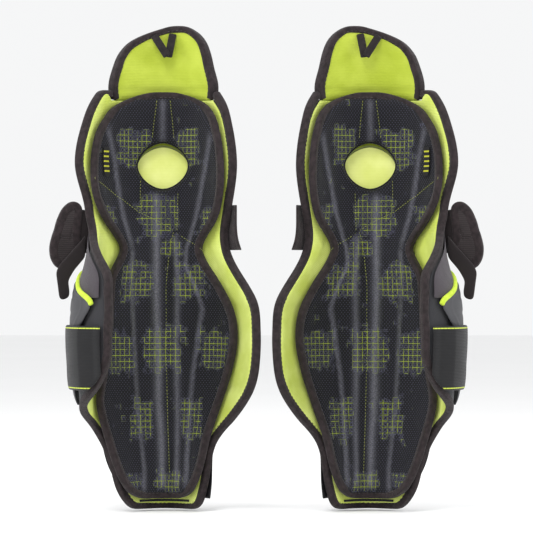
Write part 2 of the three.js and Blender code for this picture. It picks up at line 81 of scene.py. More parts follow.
def curve(*points):
    """A smooth function through (height, value) pairs."""
    h = np.array([p[0] for p in points], float)
    v = np.array([p[1] for p in points], float)
    steps = np.diff(h)
    slopes = np.diff(v) / steps
    tangent = np.empty(len(h))
    tangent[0] = slopes[0]
    tangent[-1] = slopes[-1]
    tangent[1:-1] = (slopes[:-1] * steps[1:] + slopes[1:] * steps[:-1]) / (steps[:-1] + steps[1:])

    def value(z):
        z = np.clip(z, h[0], h[-1])
        i = np.clip(np.searchsorted(h, z, side="right") - 1, 0, len(h) - 2)
        t = (z - h[i]) / steps[i]
        low = v[i] * (1 + 2 * t) * (1 - t) ** 2 + tangent[i] * steps[i] * t * (1 - t) ** 2
        return low + v[i + 1] * t * t * (3 - 2 * t) - tangent[i + 1] * steps[i] * t * t * (1 - t)

    return value


front_depth = curve((0, 30), (60, 36), (130, 41), (200, 45), (290, 47), (330, 53), (385, 62),
                    (430, 58), (465, 49), (500, 44), (538, 40))
lateral_reach = curve((0, 48), (30, 58), (60, 68), (100, 80), (130, 83), (200, 87), (240, 84),
                      (270, 75), (300, 71), (330, 80), (385, 92), (430, 87), (465, 78), (538, 70))
medial_reach = curve((0, 46), (30, 52), (60, 58), (100, 80), (130, 93), (170, 99), (200, 101),
                     (240, 97), (270, 86), (300, 74), (330, 72), (385, 76), (430, 72), (465, 66), (538, 62))
lateral_depth = curve((0, 80), (60, 72), (100, 66), (130, 64), (200, 66), (250, 66), (300, 66),
                      (330, 78), (385, 100), (430, 88), (465, 66), (538, 46))
medial_depth = curve((0, 80), (60, 74), (100, 86), (130, 98), (200, 104), (250, 96), (300, 76),
                     (330, 80), (385, 100), (430, 88), (465, 66), (538, 46))


def section(angle, z, offset):
    """Points of the surface at an angle (radians, lateral positive), pushed out from the leg by offset."""
    angle, z, offset = np.broadcast_arrays(*[np.asarray(each, float) for each in (angle, z, offset)])
    a = np.where(angle > 0, lateral_reach(z), medial_reach(z))
    b = np.where(angle > 0, lateral_depth(z), medial_depth(z))
    nx, ny = b * np.sin(angle), a * np.cos(angle)
    size = np.hypot(nx, ny)
    x = a * np.sin(angle) + offset * nx / size
    y = front_depth(z) + SECTION_DEPTH - b * (1 - np.cos(angle)) + offset * ny / size
    return np.stack([x, y, z], axis=-1)


def angle_at(reach, z, offset=0.0):
    """The angle, within a quarter turn, where the surface at that offset reaches x = reach."""
    reach, z = np.broadcast_arrays(np.asarray(reach, float), np.asarray(z, float))
    side = np.where(reach < 0, -1.0, 1.0)
    low = np.zeros(reach.shape)
    high = np.full(reach.shape, math.pi / 2)
    for _ in range(26):
        mid = (low + high) / 2
        inside = side * section(side * mid, z, offset)[..., 0] < side * reach
        low = np.where(inside, mid, low)
        high = np.where(inside, high, mid)
    return side * low


def rate(angle, z):
    """Millimetres along the surface per radian."""
    step = math.radians(0.5)
    return np.linalg.norm(section(angle + step, z, 0) - section(angle - step, z, 0), axis=-1) / (2 * step)


# ---------------------------------------------------------------- outlines of the pieces

# An outline is a pair of functions: the medial and the lateral edge's angle, in radians, at a height.


def by_angle(medial, lateral):
    """An outline from the degrees its edges lie round from the front line."""
    return lambda z: -np.radians(medial(z)), lambda z: np.radians(lateral(z))


def by_reach(medial, lateral, offset):
    """An outline from its edges' distances from the centre line."""
    return lambda z: angle_at(-medial(z), z, offset), lambda z: angle_at(lateral(z), z, offset)


def constant(medial, lateral):
    """An outline whose edges keep to one angle each, in degrees, lateral positive."""
    return lambda z: np.radians(medial) + 0 * z, lambda z: np.radians(lateral) + 0 * z


def pulled_in(outline, margin):
    """An outline whose edges lie margin millimetres inside another's."""
    medial, lateral = outline
    return (lambda z: medial(z) + margin / rate(medial(z), z),
            lambda z: lateral(z) - margin / rate(lateral(z), z))


wrap_outline = by_angle(
    curve((0, 32), (3, 38), (10, 44.5), (20, 47), (50, 49.5), (80, 48.5), (90, 51.6), (100, 57), (120, 65),
          (150, 73), (200, 71.5), (230, 69.5), (250, 62), (280, 54), (300, 55.5), (350, 65.5), (385, 66.5),
          (430, 62.5), (450, 59), (466, 50)),
    curve((0, 32), (3, 38), (10, 45.5), (20, 51), (50, 54), (80, 60), (100, 72), (115, 94), (130, 118),
          (160, 138), (200, 142), (240, 141), (265, 134), (285, 114), (305, 88), (330, 75), (385, 74),
          (430, 68.5), (450, 65), (466, 58)))
liner_outline = by_reach(
    curve((13, 18), (20, 30.5), (30, 37), (50, 44.5), (80, 51), (120, 64.5), (160, 77), (190, 82),
          (220, 78.5), (250, 63.5), (280, 44.5), (290, 41), (300, 45), (320, 58), (360, 67), (380, 67),
          (420, 62), (440, 55), (450, 46), (460, 22), (463, 10)),
    curve((13, 26), (20, 40), (30, 48), (50, 57), (80, 67), (100, 73), (120, 77), (150, 74), (200, 68),
          (240, 66), (262, 63.5), (280, 54.5), (290, 51), (300, 56), (320, 69), (340, 78), (380, 83.5),
          (400, 82), (430, 72), (450, 53.5), (460, 28), (463, 14)),
    -2)
flap_outline = by_reach(
    curve((455, 50), (470, 51), (490, 47), (510, 43), (520, 39.5), (530, 32), (535, 25), (538, 20)),
    curve((455, 56), (470, 57), (490, 53), (510, 45), (520, 36), (530, 16), (535, 0.5), (538, -8)),
    0)
shin_outline = by_angle(
    curve((14, 52), (30, 51), (50, 48.5), (70, 45), (100, 46), (200, 44), (280, 44), (300, 38), (310, 26)),
    curve((14, 34), (30, 46), (100, 54), (200, 54), (280, 52), (300, 42), (310, 28)))
knee_outline = by_angle(
    curve((320, 26), (332, 40), (360, 50), (400, 51), (430, 42), (448, 20)),
    curve((320, 28), (332, 42), (360, 52), (400, 52), (430, 44), (448, 24)))
calf_edge = curve((118, 84), (135, 98), (165, 112), (200, 117), (216, 126), (228, 131), (236, 128),
                  (247, 110), (257, 96), (268, 76))
calf_outline = (constant(CALF_FRONT, CALF_FRONT)[0], lambda z: np.radians(calf_edge(z)))


def smoothstep(low, high, value):
    """0 at low, 1 at high and eased between, also where low is above high."""
    t = np.clip((np.asarray(value, float) - low) / (high - low), 0, 1)
    return t * t * (3 - 2 * t)


def bump(distance, width):
    """1 at distance 0, fading over about width."""
    return np.exp(-(np.asarray(distance, float) / width) ** 2)


def distance_to_line(x, z, points):
    """Distance from each (x, z) to a chain of straight stretches."""
    best = np.full(np.broadcast(x, z).shape, 1e9)
    for (ax, az), (bx, bz) in zip(points[:-1], points[1:]):
        length = (bx - ax) ** 2 + (bz - az) ** 2
        t = np.clip(((x - ax) * (bx - ax) + (z - az) * (bz - az)) / length, 0, 1)
        best = np.minimum(best, np.hypot(x - ax - t * (bx - ax), z - az - t * (bz - az)))
    return best


def ripple(x, z, size, seed):
    """Smooth unevenness about size millimetres across, between -1 and 1."""
    rng = np.random.default_rng(seed)
    total = 0
    for _ in range(5):
        direction = rng.uniform(0, math.pi)
        phase = rng.uniform(0, 2 * math.pi)
        pitch = size * rng.uniform(0.7, 1.5)
        along = x * math.cos(direction) + z * math.sin(direction)
        total = total + np.sin(2 * math.pi * along / pitch + phase)
    return total / 5


# ---------------------------------------------------------------- mesh building

SIDES = {"right": 1, "left": -1}


def mesh_of(name, points, faces, uvs=None, attributes=None, material_ids=None):
    """A mesh object of the right guard, in millimetres from its own centre line."""
    mesh = bpy.data.meshes.new(name)
    mesh.from_pydata([tuple(p) for p in points], [], [tuple(int(i) for i in f) for f in faces])
    if uvs is not None:
        layer = mesh.uv_layers.new(name="UVMap")
        loop_vertices = np.empty(len(mesh.loops), int)
        mesh.loops.foreach_get("vertex_index", loop_vertices)
        layer.data.foreach_set("uv", (np.asarray(uvs)[loop_vertices] / 100).ravel())
    for key, values in (attributes or {}).items():
        attribute = mesh.attributes.new(key, "FLOAT", "POINT")
        attribute.data.foreach_set("value", np.asarray(values, np.float32).ravel())
    if material_ids is not None:
        mesh.polygons.foreach_set("material_index", material_ids)
    mesh.polygons.foreach_set("use_smooth", [True] * len(mesh.polygons))
    obj = bpy.data.objects.new(name, mesh)
    bpy.context.scene.collection.objects.link(obj)
    return obj


def grid(outline, low, high, columns, rows, edge=0.0, power=0.8, top=None):
    """Angles and heights of a grid of points over an outline, closer together towards its edges.
    top gives the upper edge's height where it isn't level."""
    levels = np.linspace(-1, 1, rows + 1)
    levels = low + (high - low) * (np.sign(levels) * np.abs(levels) ** power + 1) / 2
    across = np.linspace(-1, 1, columns + 1)
    across = np.sign(across) * np.abs(across) ** power
    medial, lateral = [side(levels[:, None]) for side in pulled_in(outline, edge)]
    angles = medial + (lateral - medial) * (across[None, :] + 1) / 2
    z = np.broadcast_to(levels[:, None], (rows + 1, columns + 1))
    if top is not None:
        reach = section(angles, z, 0)[..., 0]
        z = low + (z - low) * (top(reach) - low) / (high - low)
    return angles, z


def arc_lengths(angles, z):
    """Millimetres round the surface from its front line, for the weave to follow."""
    points = section(angles, z, 0)
    steps = np.linalg.norm(np.diff(points, axis=1), axis=2)
    run = np.concatenate([np.zeros((len(angles), 1)), np.cumsum(steps, axis=1)], axis=1)
    middle = np.argmin(np.abs(angles), axis=1)
    rows = np.arange(len(angles))
    return run - (run - points[..., 0])[rows, middle][:, None]


def edge_distance(angles, z, outline, low, high):
    """Millimetres from each point to the nearest edge of its outline, roughly."""
    sides = np.minimum(angles - outline[0](z), outline[1](z) - angles) * rate(angles, z)
    return np.minimum(sides, np.minimum(z - low, high - z))


def slab_faces(rows, columns):
    """Faces of two grids of points, inner and outer, closed round their edge."""
    index = np.arange(rows * columns).reshape(rows, columns)
    far = index + rows * columns
    near_faces = np.stack([index[:-1, :-1], index[1:, :-1], index[1:, 1:], index[:-1, 1:]], -1)
    far_faces = np.stack([far[:-1, :-1], far[:-1, 1:], far[1:, 1:], far[1:, :-1]], -1)
    ring = np.concatenate([index[0, :-1], index[:-1, -1], index[-1, :0:-1], index[:0:-1, 0]])
    after = np.roll(ring, -1)
    rim_faces = np.stack([ring, after, after + rows * columns, ring + rows * columns], -1)
    return near_faces.reshape(-1, 4), far_faces.reshape(-1, 4), rim_faces


def slab(name, angles, z, inner, outer, attributes=None, two_materials=False):
    """A closed piece between two offsets of the surface, its outer face of a second material or not."""
    points = np.concatenate([section(angles, z, offset).reshape(-1, 3) for offset in (inner, outer)])
    quads = slab_faces(*angles.shape)
    uv = np.stack([arc_lengths(angles, z), z], -1).reshape(-1, 2)
    ids = None
    if two_materials:
        ids = np.concatenate([np.zeros(len(quads[0]), int), np.ones(len(quads[1]) + len(quads[2]), int)])
    doubled = {k: np.concatenate([np.ravel(v), np.ravel(v)]) for k, v in (attributes or {}).items()}
    return mesh_of(name, points, np.concatenate(quads), np.concatenate([uv, uv]), doubled, ids)


def resampled(points, step, closed):
    """Points at equal steps along a chain."""
    points = np.asarray(points, float)
    if closed:
        points = np.vstack([points, points[:1]])
    run = np.concatenate([[0], np.cumsum(np.linalg.norm(np.diff(points, axis=0), axis=1))])
    count = max(8, int(run[-1] / step))
    targets = np.linspace(0, run[-1], count + 1)
    if closed:
        targets = targets[:-1]
    return np.stack([np.interp(targets, run, points[:, k]) for k in range(points.shape[1])], -1)


def eased(values, passes, closed):
    """A chain with its corners rounded off, more with each pass."""
    for _ in range(passes):
        before = np.roll(values, 1, axis=0)
        after = np.roll(values, -1, axis=0)
        mixed = (before + 2 * values + after) / 4
        if not closed:
            mixed[0] = values[0]
            mixed[-1] = values[-1]
        values = mixed
    return values


def frames_of(path, normals, closed):
    """At each point of a path in a surface: the way inwards from it, and the way out of the surface."""
    if closed:
        ahead = np.roll(path, -1, axis=0) - np.roll(path, 1, axis=0)
    else:
        ahead = np.gradient(path, axis=0)
    ahead /= np.linalg.norm(ahead, axis=1, keepdims=True)
    inward = np.cross(normals, ahead)
    inward /= np.linalg.norm(inward, axis=1, keepdims=True)
    return inward, np.cross(ahead, inward)


def swept(name, path, normals, profile, closed, widths=None):
    """A section of (inward, outward) points carried along a path in a surface with these normals."""
    inward, upright = frames_of(path, normals, closed)
    widths = np.ones(len(path)) if widths is None else widths
    ring = path[:, None] + inward[:, None] * (profile[None, :, :1] * widths[:, None, None])
    ring = ring + upright[:, None] * profile[None, :, 1:]
    count, size = len(path), len(profile)
    index = np.arange(count * size).reshape(count, size)
    follow = np.roll(index, -1, axis=0) if closed else index[1:]
    start = index if closed else index[:-1]
    quads = np.stack([start, np.roll(start, -1, 1), np.roll(follow, -1, 1), follow], -1)
    faces = list(quads.reshape(-1, 4))
    if not closed:
        faces.append(index[0][::-1])
        faces.append(index[-1])
    along = np.concatenate([[0], np.cumsum(np.linalg.norm(np.diff(path, axis=0), axis=1))])
    around = np.concatenate([[0], np.cumsum(np.linalg.norm(np.diff(profile, axis=0), axis=1))])
    uv = np.stack(np.broadcast_arrays(along[:, None], around[None, :]), -1).reshape(-1, 2)
    obj = mesh_of(name, ring.reshape(-1, 3), faces, uv)
    outward(obj)
    return obj


def tape_profile(width, thickness, count=18, squareness=0.55, overhang=1.0):
    """Binding folded over an edge: a rounded block that reaches width inwards."""
    turn = np.linspace(0, 2 * math.pi, count, endpoint=False)
    c, s = np.cos(turn), np.sin(turn)
    half = (width + overhang) / 2
    across = half - overhang + half * np.sign(c) * np.abs(c) ** squareness
    return np.stack([across, thickness / 2 * np.sign(s) * np.abs(s) ** squareness], -1)


def edge_path(outline, low, high, offset, parts, step=TAPE_STEP, passes=6, horn=None):
    """A path along edges of an outline, down the lateral side and up the medial one, and the surface's
    normals along it. It is closed where it has all four parts. Where horn is given, the path starts that
    far from the centre line and goes out along the top first."""
    heights = np.linspace(low, high, 140)
    medial, lateral = outline[0](heights), outline[1](heights)
    span = np.linspace(0, 1, 24)[1:-1]
    chains = {
        "lateral": np.stack([lateral, heights], -1)[::-1],
        "base": np.stack([lateral[0] + (medial[0] - lateral[0]) * span, np.full(len(span), low)], -1),
        "medial": np.stack([medial, heights], -1),
        "top": np.stack([medial[-1] + (lateral[-1] - medial[-1]) * span, np.full(len(span), high)], -1),
    }
    chain = np.concatenate([chains[part] for part in parts])
    if horn:
        out = np.linspace(angle_at(horn, high), lateral[-1], 6)[:-1]
        chain = np.concatenate([np.stack([out, np.full(len(out), high)], -1), chain])
    closed = len(parts) == 4
    where = np.column_stack([section(chain[:, 0], chain[:, 1], offset), chain])
    where = eased(resampled(where, step, closed), passes, closed)
    angles, levels = where[:, 3], where[:, 4]
    points = section(angles, levels, offset)
    return points, section(angles, levels, offset + 1) - points


def stitches(name, points, normals, length=3.0, gap=1.8, radius=0.38, lift=0.1):
    """A row of short raised threads along a path."""
    frame_points = np.column_stack([points, normals])
    run = np.concatenate([[0], np.cumsum(np.linalg.norm(np.diff(points, axis=0), axis=1))])
    starts = np.arange(gap / 2, run[-1] - length, length + gap)
    sides = 5
    vertices, faces = [], []
    stations = np.array([[0, 0.35], [0.2, 1], [0.8, 1], [1, 0.35]])

    def place(distance):
        return np.array([np.interp(distance, run, frame_points[:, k]) for k in range(6)])

    for start in starts:
        a, b = place(start), place(start + length)
        ahead = (b[:3] - a[:3]) / np.linalg.norm(b[:3] - a[:3])
        up = a[3:] / np.linalg.norm(a[3:])
        side = np.cross(up, ahead)
        first = len(vertices)
        for t, size in stations:
            centre = a[:3] + (b[:3] - a[:3]) * t + up * (lift + radius * (size - 1))
            for k in range(sides):
                turn = 2 * math.pi * k / sides
                vertices.append(centre + radius * size * (math.cos(turn) * side + math.sin(turn) * up))
        for ring in range(len(stations) - 1):
            for k in range(sides):
                low = first + ring * sides
                ahead_k = (k + 1) % sides
                faces.append((low + k, low + ahead_k, low + sides + ahead_k, low + sides + k))
        faces.append(tuple(first + k for k in reversed(range(sides))))
        last = first + (len(stations) - 1) * sides
        faces.append(tuple(last + k for k in range(sides)))
    return mesh_of(name, vertices, faces, np.zeros((len(vertices), 2)))


def outward(obj):
    """Turns every face's normal outwards."""
    mesh = bmesh.new()
    mesh.from_mesh(obj.data)
    bmesh.ops.recalc_face_normals(mesh, faces=mesh.faces)
    mesh.to_mesh(obj.data)
    mesh.free()


def refine(obj, levels=1):
    modifier = obj.modifiers.new("surface", "SUBSURF")
    modifier.levels = levels
    modifier.render_levels = levels


def swell(obj, held, pressure=4.0, cap=3.0, frames=20, stiffness=12.0):
    """Blows a pad up between the vertices that are held, by cloth simulation, in its own millimetres."""
    scene = bpy.context.scene
    start = np.array([v.co for v in obj.data.vertices])
    obj.data.transform(SCALE)
    group = obj.vertex_groups.new(name="held")
    for i, weight in enumerate(np.ravel(held)):
        if weight > 0:
            group.add([i], float(weight), "REPLACE")
    modifier = obj.modifiers.new("pad", "CLOTH")
    cloth = modifier.settings
    cloth.quality = 6
    cloth.mass = 0.25
    cloth.tension_stiffness = stiffness
    cloth.compression_stiffness = stiffness
    cloth.shear_stiffness = stiffness / 2
    cloth.bending_stiffness = 0.8
    cloth.use_pressure = True
    cloth.uniform_pressure_force = pressure
    cloth.vertex_group_mass = "held"
    cloth.effector_weights.gravity = 0
    modifier.collision_settings.use_collision = False
    modifier.point_cache.frame_start = 1
    modifier.point_cache.frame_end = frames
    for number in range(1, frames + 1):
        scene.frame_set(number)
    depsgraph = bpy.context.evaluated_depsgraph_get()
    after = obj.evaluated_get(depsgraph).to_mesh()
    moved = np.array([v.co for v in after.vertices]) / MM
    obj.modifiers.clear()
    obj.vertex_groups.clear()
    shift = moved - start
    size = np.linalg.norm(shift, axis=1, keepdims=True)
    shift *= cap * np.tanh(size / cap) / np.maximum(size, 1e-9)
    obj.data.vertices.foreach_set("co", (start + shift).ravel())
    scene.frame_set(1)


# ---------------------------------------------------------------- handing pieces to the frame

def hand_over(obj, body, material, nodes=(), blend=None, levels=0, second=None):
    """Puts a finished piece of the right guard in place, and its mirror image on the left one."""
    left = bpy.data.objects.new("left_" + obj.name, obj.data.copy())
    bpy.context.scene.collection.objects.link(left)
    obj.name = "right_" + obj.name
    for side, copy in (("right", obj), ("left", left)):
        sign = SIDES[side]
        mesh = copy.data
        co = np.empty(len(mesh.vertices) * 3)
        mesh.vertices.foreach_get("co", co)
        co = co.reshape(-1, 3)
        co[:, 0] = sign * (co[:, 0] + GUARD_CENTRE)
        mesh.vertices.foreach_set("co", (co * MM).ravel())
        if sign < 0:
            mesh.flip_normals()
        mesh.update()
        for each in filter(None, (material, second)):
            mesh.materials.append(each)
        if levels:
            refine(copy, levels)
        if blend:
            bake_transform(copy)
        else:
            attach(copy, f"{side}_{body}")
        if nodes:
            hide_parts(*[f"{side}_{node}" for node in nodes])


# ---------------------------------------------------------------- materials


def linear(hex_colour):
    """A web colour as the linear RGBA that shaders take."""
    parts = [int(hex_colour[i:i + 2], 16) / 255 for i in (0, 2, 4)]
    return (*[c / 12.92 if c <= 0.04045 else ((c + 0.055) / 1.055) ** 2.4 for c in parts], 1.0)


class Shader:
    """A node material, built by calls that return sockets."""

    def __init__(self, name, roughness=0.8, specular=0.3):
        self.material = bpy.data.materials.new(name)
        self.material.use_nodes = True
        self.tree = self.material.node_tree
        self.tree.nodes.clear()
        output = self.tree.nodes.new("ShaderNodeOutputMaterial")
        self.surface = self.tree.nodes.new("ShaderNodeBsdfPrincipled")
        self.tree.links.new(self.surface.outputs[0], output.inputs[0])
        self.surface.inputs["Roughness"].default_value = roughness
        self.surface.inputs["Specular IOR Level"].default_value = specular

    def put(self, socket, value):
        """Links a socket or sets a constant, where text is a web colour."""
        if isinstance(value, bpy.types.NodeSocket):
            self.tree.links.new(value, socket)
        else:
            socket.default_value = linear(value) if isinstance(value, str) else value

    def math(self, operation, a, b=0.0, c=0.0):
        node = self.tree.nodes.new("ShaderNodeMath")
        node.operation = operation
        for socket, value in zip(node.inputs, (a, b, c)):
            self.put(socket, value)
        return node.outputs[0]

    def times(self, a, b):
        return self.math("MULTIPLY", a, b)

    def plus(self, a, b):
        return self.math("ADD", a, b)

    def minus(self, a, b):
        return self.math("SUBTRACT", a, b)

    def ramp(self, value, low, high):
        """0 below low, 1 above high (or the other way round where low is above high)."""
        node = self.tree.nodes.new("ShaderNodeMapRange")
        node.interpolation_type = "SMOOTHSTEP"
        self.put(node.inputs["Value"], value)
        bounds = (low, high, 0.0, 1.0) if low < high else (high, low, 1.0, 0.0)
        for key, bound in zip(("From Min", "From Max", "To Min", "To Max"), bounds):
            node.inputs[key].default_value = bound
        return node.outputs[0]

    def mix(self, factor, a, b):
        node = self.tree.nodes.new("ShaderNodeMix")
        node.data_type = "RGBA"
        self.put(node.inputs[0], factor)
        self.put(node.inputs[6], a)
        self.put(node.inputs[7], b)
        return node.outputs[2]

    def surface_mm(self):
        """Millimetres round and up the surface, which the weave follows."""
        coordinates = self.tree.nodes.new("ShaderNodeTexCoord")
        parts = self.tree.nodes.new("ShaderNodeSeparateXYZ")
        self.tree.links.new(coordinates.outputs["UV"], parts.inputs[0])
        return self.times(parts.outputs[0], 100.0), self.times(parts.outputs[1], 100.0)

    def vector(self, x, y, z=0.0):
        node = self.tree.nodes.new("ShaderNodeCombineXYZ")
        for socket, value in zip(node.inputs, (x, y, z)):
            self.put(socket, value)
        return node.outputs[0]

    def noise(self, size, detail=2.0, vector=None):
        """Clouds about size metres across (or in the vector's own unit)."""
        node = self.tree.nodes.new("ShaderNodeTexNoise")
        if vector is None:
            coordinates = self.tree.nodes.new("ShaderNodeTexCoord")
            vector = coordinates.outputs["Object"]
        self.tree.links.new(vector, node.inputs["Vector"])
        node.inputs["Scale"].default_value = 1 / size
        node.inputs["Detail"].default_value = detail
        return node.outputs["Fac"]

    def cells(self, along, pitch, shift=0.0):
        """How far along its cell, from -0.5 to 0.5."""
        scaled = self.math("MULTIPLY_ADD", along, 1 / pitch, shift)
        return self.minus(self.math("FRACT", scaled), 0.5)

    def waves(self, along, pitch):
        return self.math("SINE", self.times(along, 2 * math.pi / pitch))

    def attribute(self, name):
        node = self.tree.nodes.new("ShaderNodeAttribute")
        node.attribute_name = name
        return node.outputs["Fac"]

    def raise_by(self, height, millimetres):
        node = self.tree.nodes.new("ShaderNodeBump")
        node.inputs["Distance"].default_value = millimetres * MM
        node.inputs["Strength"].default_value = 1.0
        self.tree.links.new(height, node.inputs["Height"])
        if self.surface.inputs["Normal"].is_linked:
            earlier = self.surface.inputs["Normal"].links[0].from_socket
            self.tree.links.new(earlier, node.inputs["Normal"])
        self.tree.links.new(node.outputs[0], self.surface.inputs["Normal"])

    def colour(self, value):
        self.put(self.surface.inputs["Base Color"], value)

    def sheen(self, weight, roughness=0.4):
        self.surface.inputs["Sheen Weight"].default_value = weight
        self.surface.inputs["Sheen Roughness"].default_value = roughness


def lime_mesh(name="lime_mesh", dark="BBC955", pale="D3DF7C", depth=1.0):
    """Brushed warp-knit mesh over foam: level ribs round the knee, a slanting knit below it."""
    s = Shader(name, 0.85, 0.2)
    u, v = s.surface_mm()
    level = s.waves(v, 1.7)
    slanting = s.waves(s.plus(s.times(v, 0.9), s.times(u, -0.6)), 2.0)
    above = s.ramp(v, 280, 310)
    ribs = s.plus(s.times(level, above), s.times(slanting, s.minus(1.0, above)))
    loops = s.waves(s.plus(u, s.times(v, 0.4)), 1.3)
    knit = s.plus(ribs, s.times(loops, 0.5))
    dimples_and_shade = s.ramp(knit, 0.1, 1.3)
    clouds = s.noise(0.04, 4.0)
    base = s.mix(s.ramp(clouds, 0.3, 0.7), dark, pale)
    # The knit's dimples are painted darker, towards olive: painted shade in the dimples, scaled by depth.
    s.colour(s.mix(s.times(dimples_and_shade, 0.32 * depth), base, "8B9A34"))
    s.raise_by(s.minus(1.0, dimples_and_shade), 0.24 * depth)
    s.raise_by(s.noise(0.012, 2.0), 0.5)
    s.sheen(0.12)
    return s.material


def liner_print():
    """Near-black mesh with small pale dots, patches where an olive grid with framed cells is printed, and a
    painted highlight along its ridges and crease edges.
    """
    s = Shader("liner_print", 0.7, 0.22)
    u, v = s.surface_mm()
    dots = 0.0
    for shift in (0.0, 0.5):
        across = s.cells(u, 4.3, shift)
        up = s.cells(v, 4.3, shift)
        apart = s.math("SQRT", s.plus(s.times(across, across), s.times(up, up)))
        dots = s.math("MAXIMUM", dots, s.ramp(apart, 0.14, 0.06))
    pitch = 6.6
    cu, cv = s.cells(u, pitch), s.cells(v, pitch)
    square = s.math("MAXIMUM", s.math("ABSOLUTE", cu), s.math("ABSOLUTE", cv))
    line = s.ramp(square, 0.432, 0.455)
    tile_u = s.math("FLOOR", s.times(u, 1 / pitch))
    tile_v = s.math("FLOOR", s.times(v, 1 / pitch))
    tile = s.noise(1.37, 0.0, s.vector(tile_u, tile_v, 0.5))
    strength = s.plus(s.attribute("print"), s.times(s.minus(s.noise(0.011), 0.5), 1.7))
    tile_change = s.minus(tile, 0.5)
    broken = s.ramp(s.noise(0.0035, 2.0), 0.3, 0.48)
    shown = s.ramp(s.plus(strength, s.times(tile_change, 1.6)), 0.52, 0.8)
    shown = s.times(shown, broken)
    faint = s.ramp(s.plus(strength, s.times(tile_change, 0.9)), 0.34, 0.5)
    frame_ring = s.times(s.ramp(square, 0.2, 0.225), s.ramp(square, 0.3, 0.275))
    clouds = s.noise(0.03, 3.0)
    # The attribute read here marks where a pale grey glint is painted into the colour: a painted highlight
    # along the liner's ridges and crease edges, broken up by a fine speckle.
    stretched = s.attribute("stretched")
    speckle = s.ramp(s.noise(0.0012, 2.0), 0.4, 0.62)
    base = s.mix(clouds, "07070B", "0F0F15")
    glint = s.times(stretched, s.math("MULTIPLY_ADD", speckle, 0.5, 0.5))
    base = s.mix(glint, base, "6C6C74")
    dotted = s.mix(s.times(dots, 0.6), base, "5C5C74")
    framed = s.mix(s.times(s.times(frame_ring, faint), 0.55), dotted, "66667E")
    lined = s.mix(s.times(s.times(line, faint), 0.35), framed, "5A5A72")
    s.colour(s.mix(s.times(s.times(line, shown), 0.78), lined, "8F9D30"))
    s.raise_by(s.plus(s.times(dots, -1.0), s.times(line, shown)), 0.15)
    s.raise_by(s.noise(0.009, 3.0), 0.6)
    s.sheen(0.08, 0.5)
    return s.material


def tape_weave(name="tape_weave", dark="181314", pale="332A2C", pitch=1.5):
    """Ribbed binding tape: ribs across its width, a softer rib along it."""
    s = Shader(name, 0.85, 0.25)
    u, v = s.surface_mm()
    ribs = s.waves(u, pitch)
    grain = s.waves(s.plus(v, s.times(u, 0.35)), pitch * 1.3)
    weave = s.math("MULTIPLY_ADD", s.times(ribs, grain), 0.5, 0.5)
    blotches = s.ramp(s.noise(0.005, 4.0), 0.32, 0.68)
    mottled = s.plus(s.times(weave, 0.4), s.times(blotches, 0.6))
    s.colour(s.mix(mottled, dark, pale))
    s.raise_by(weave, 0.35)
    s.raise_by(s.noise(0.0016, 3.0), 0.35)
    s.raise_by(s.noise(0.007, 2.0), 0.7)
    s.sheen(0.12)
    return s.material


def ribbed_elastic(name="ribbed_elastic", dark="17171A", pale="343437", pitch=2.4, sewn=0.0):
    """Knitted elastic with ribs along its length, and a row of lime stitches sewn mm inside each edge."""
    s = Shader(name, 0.8, 0.3)
    u, v = s.surface_mm()
    ribs = s.math("MULTIPLY_ADD", s.waves(v, pitch), 0.5, 0.5)
    knit = s.math("MULTIPLY_ADD", s.waves(u, 1.1), 0.5, 0.5)
    clouds = s.noise(0.02, 3.0)
    tone = s.plus(s.times(ribs, 0.4), s.times(clouds, 0.5))
    base = s.mix(tone, dark, pale)
    if sewn:
        border = s.attribute("border")
        inner_edge = s.ramp(border, sewn + 0.75, sewn + 0.45)
        row = s.times(s.ramp(border, sewn - 0.75, sewn - 0.45), inner_edge)
        dashes = s.ramp(s.math("ABSOLUTE", s.cells(u, 3.4)), 0.49, 0.44)
        base = s.mix(s.times(row, dashes), base, "BCCB4A")
    s.colour(base)
    s.raise_by(s.plus(ribs, s.times(knit, 0.4)), 0.3)
    s.sheen(0.2)
    return s.material


def plain_weave(name, dark, pale, pitch=1.0, roughness=0.8):
    """A flat over-and-under weave."""
    s = Shader(name, roughness, 0.3)
    u, v = s.surface_mm()
    over = s.times(s.waves(u, pitch), s.waves(v, pitch))
    weave = s.math("MULTIPLY_ADD", over, 0.5, 0.5)
    tone = s.plus(s.times(weave, 0.5), s.times(s.noise(0.02, 4.0), 0.5))
    s.colour(s.mix(tone, dark, pale))
    s.raise_by(weave, 0.2)
    s.raise_by(s.noise(0.01, 2.0), 0.4)
    s.sheen(0.2)
    return s.material


def moulded_plastic(name, dark, pale, roughness=0.42):
    """Injection moulded plastic with a spark-eroded grain and edges rubbed paler by use."""
    s = Shader(name, roughness, 0.45)
    grain = s.noise(0.0007, 2.0)
    clouds = s.noise(0.06, 4.0)
    geometry = s.tree.nodes.new("ShaderNodeNewGeometry")
    rubbed = s.ramp(geometry.outputs["Pointiness"], 0.54, 0.66)
    worn = s.times(rubbed, s.ramp(s.noise(0.008), 0.4, 0.65))
    base = s.mix(clouds, dark, pale)
    s.colour(s.mix(s.times(worn, 0.6), base, "77777A"))
    s.put(s.surface.inputs["Roughness"], s.math("MULTIPLY_ADD", clouds, 0.22, roughness - 0.08))
    s.raise_by(grain, 0.06)
    scuffs = s.ramp(s.noise(0.0025, 3.0), 0.62, 0.7)
    s.raise_by(s.times(scuffs, s.ramp(s.noise(0.05), 0.55, 0.75)), -0.05)
    return s.material


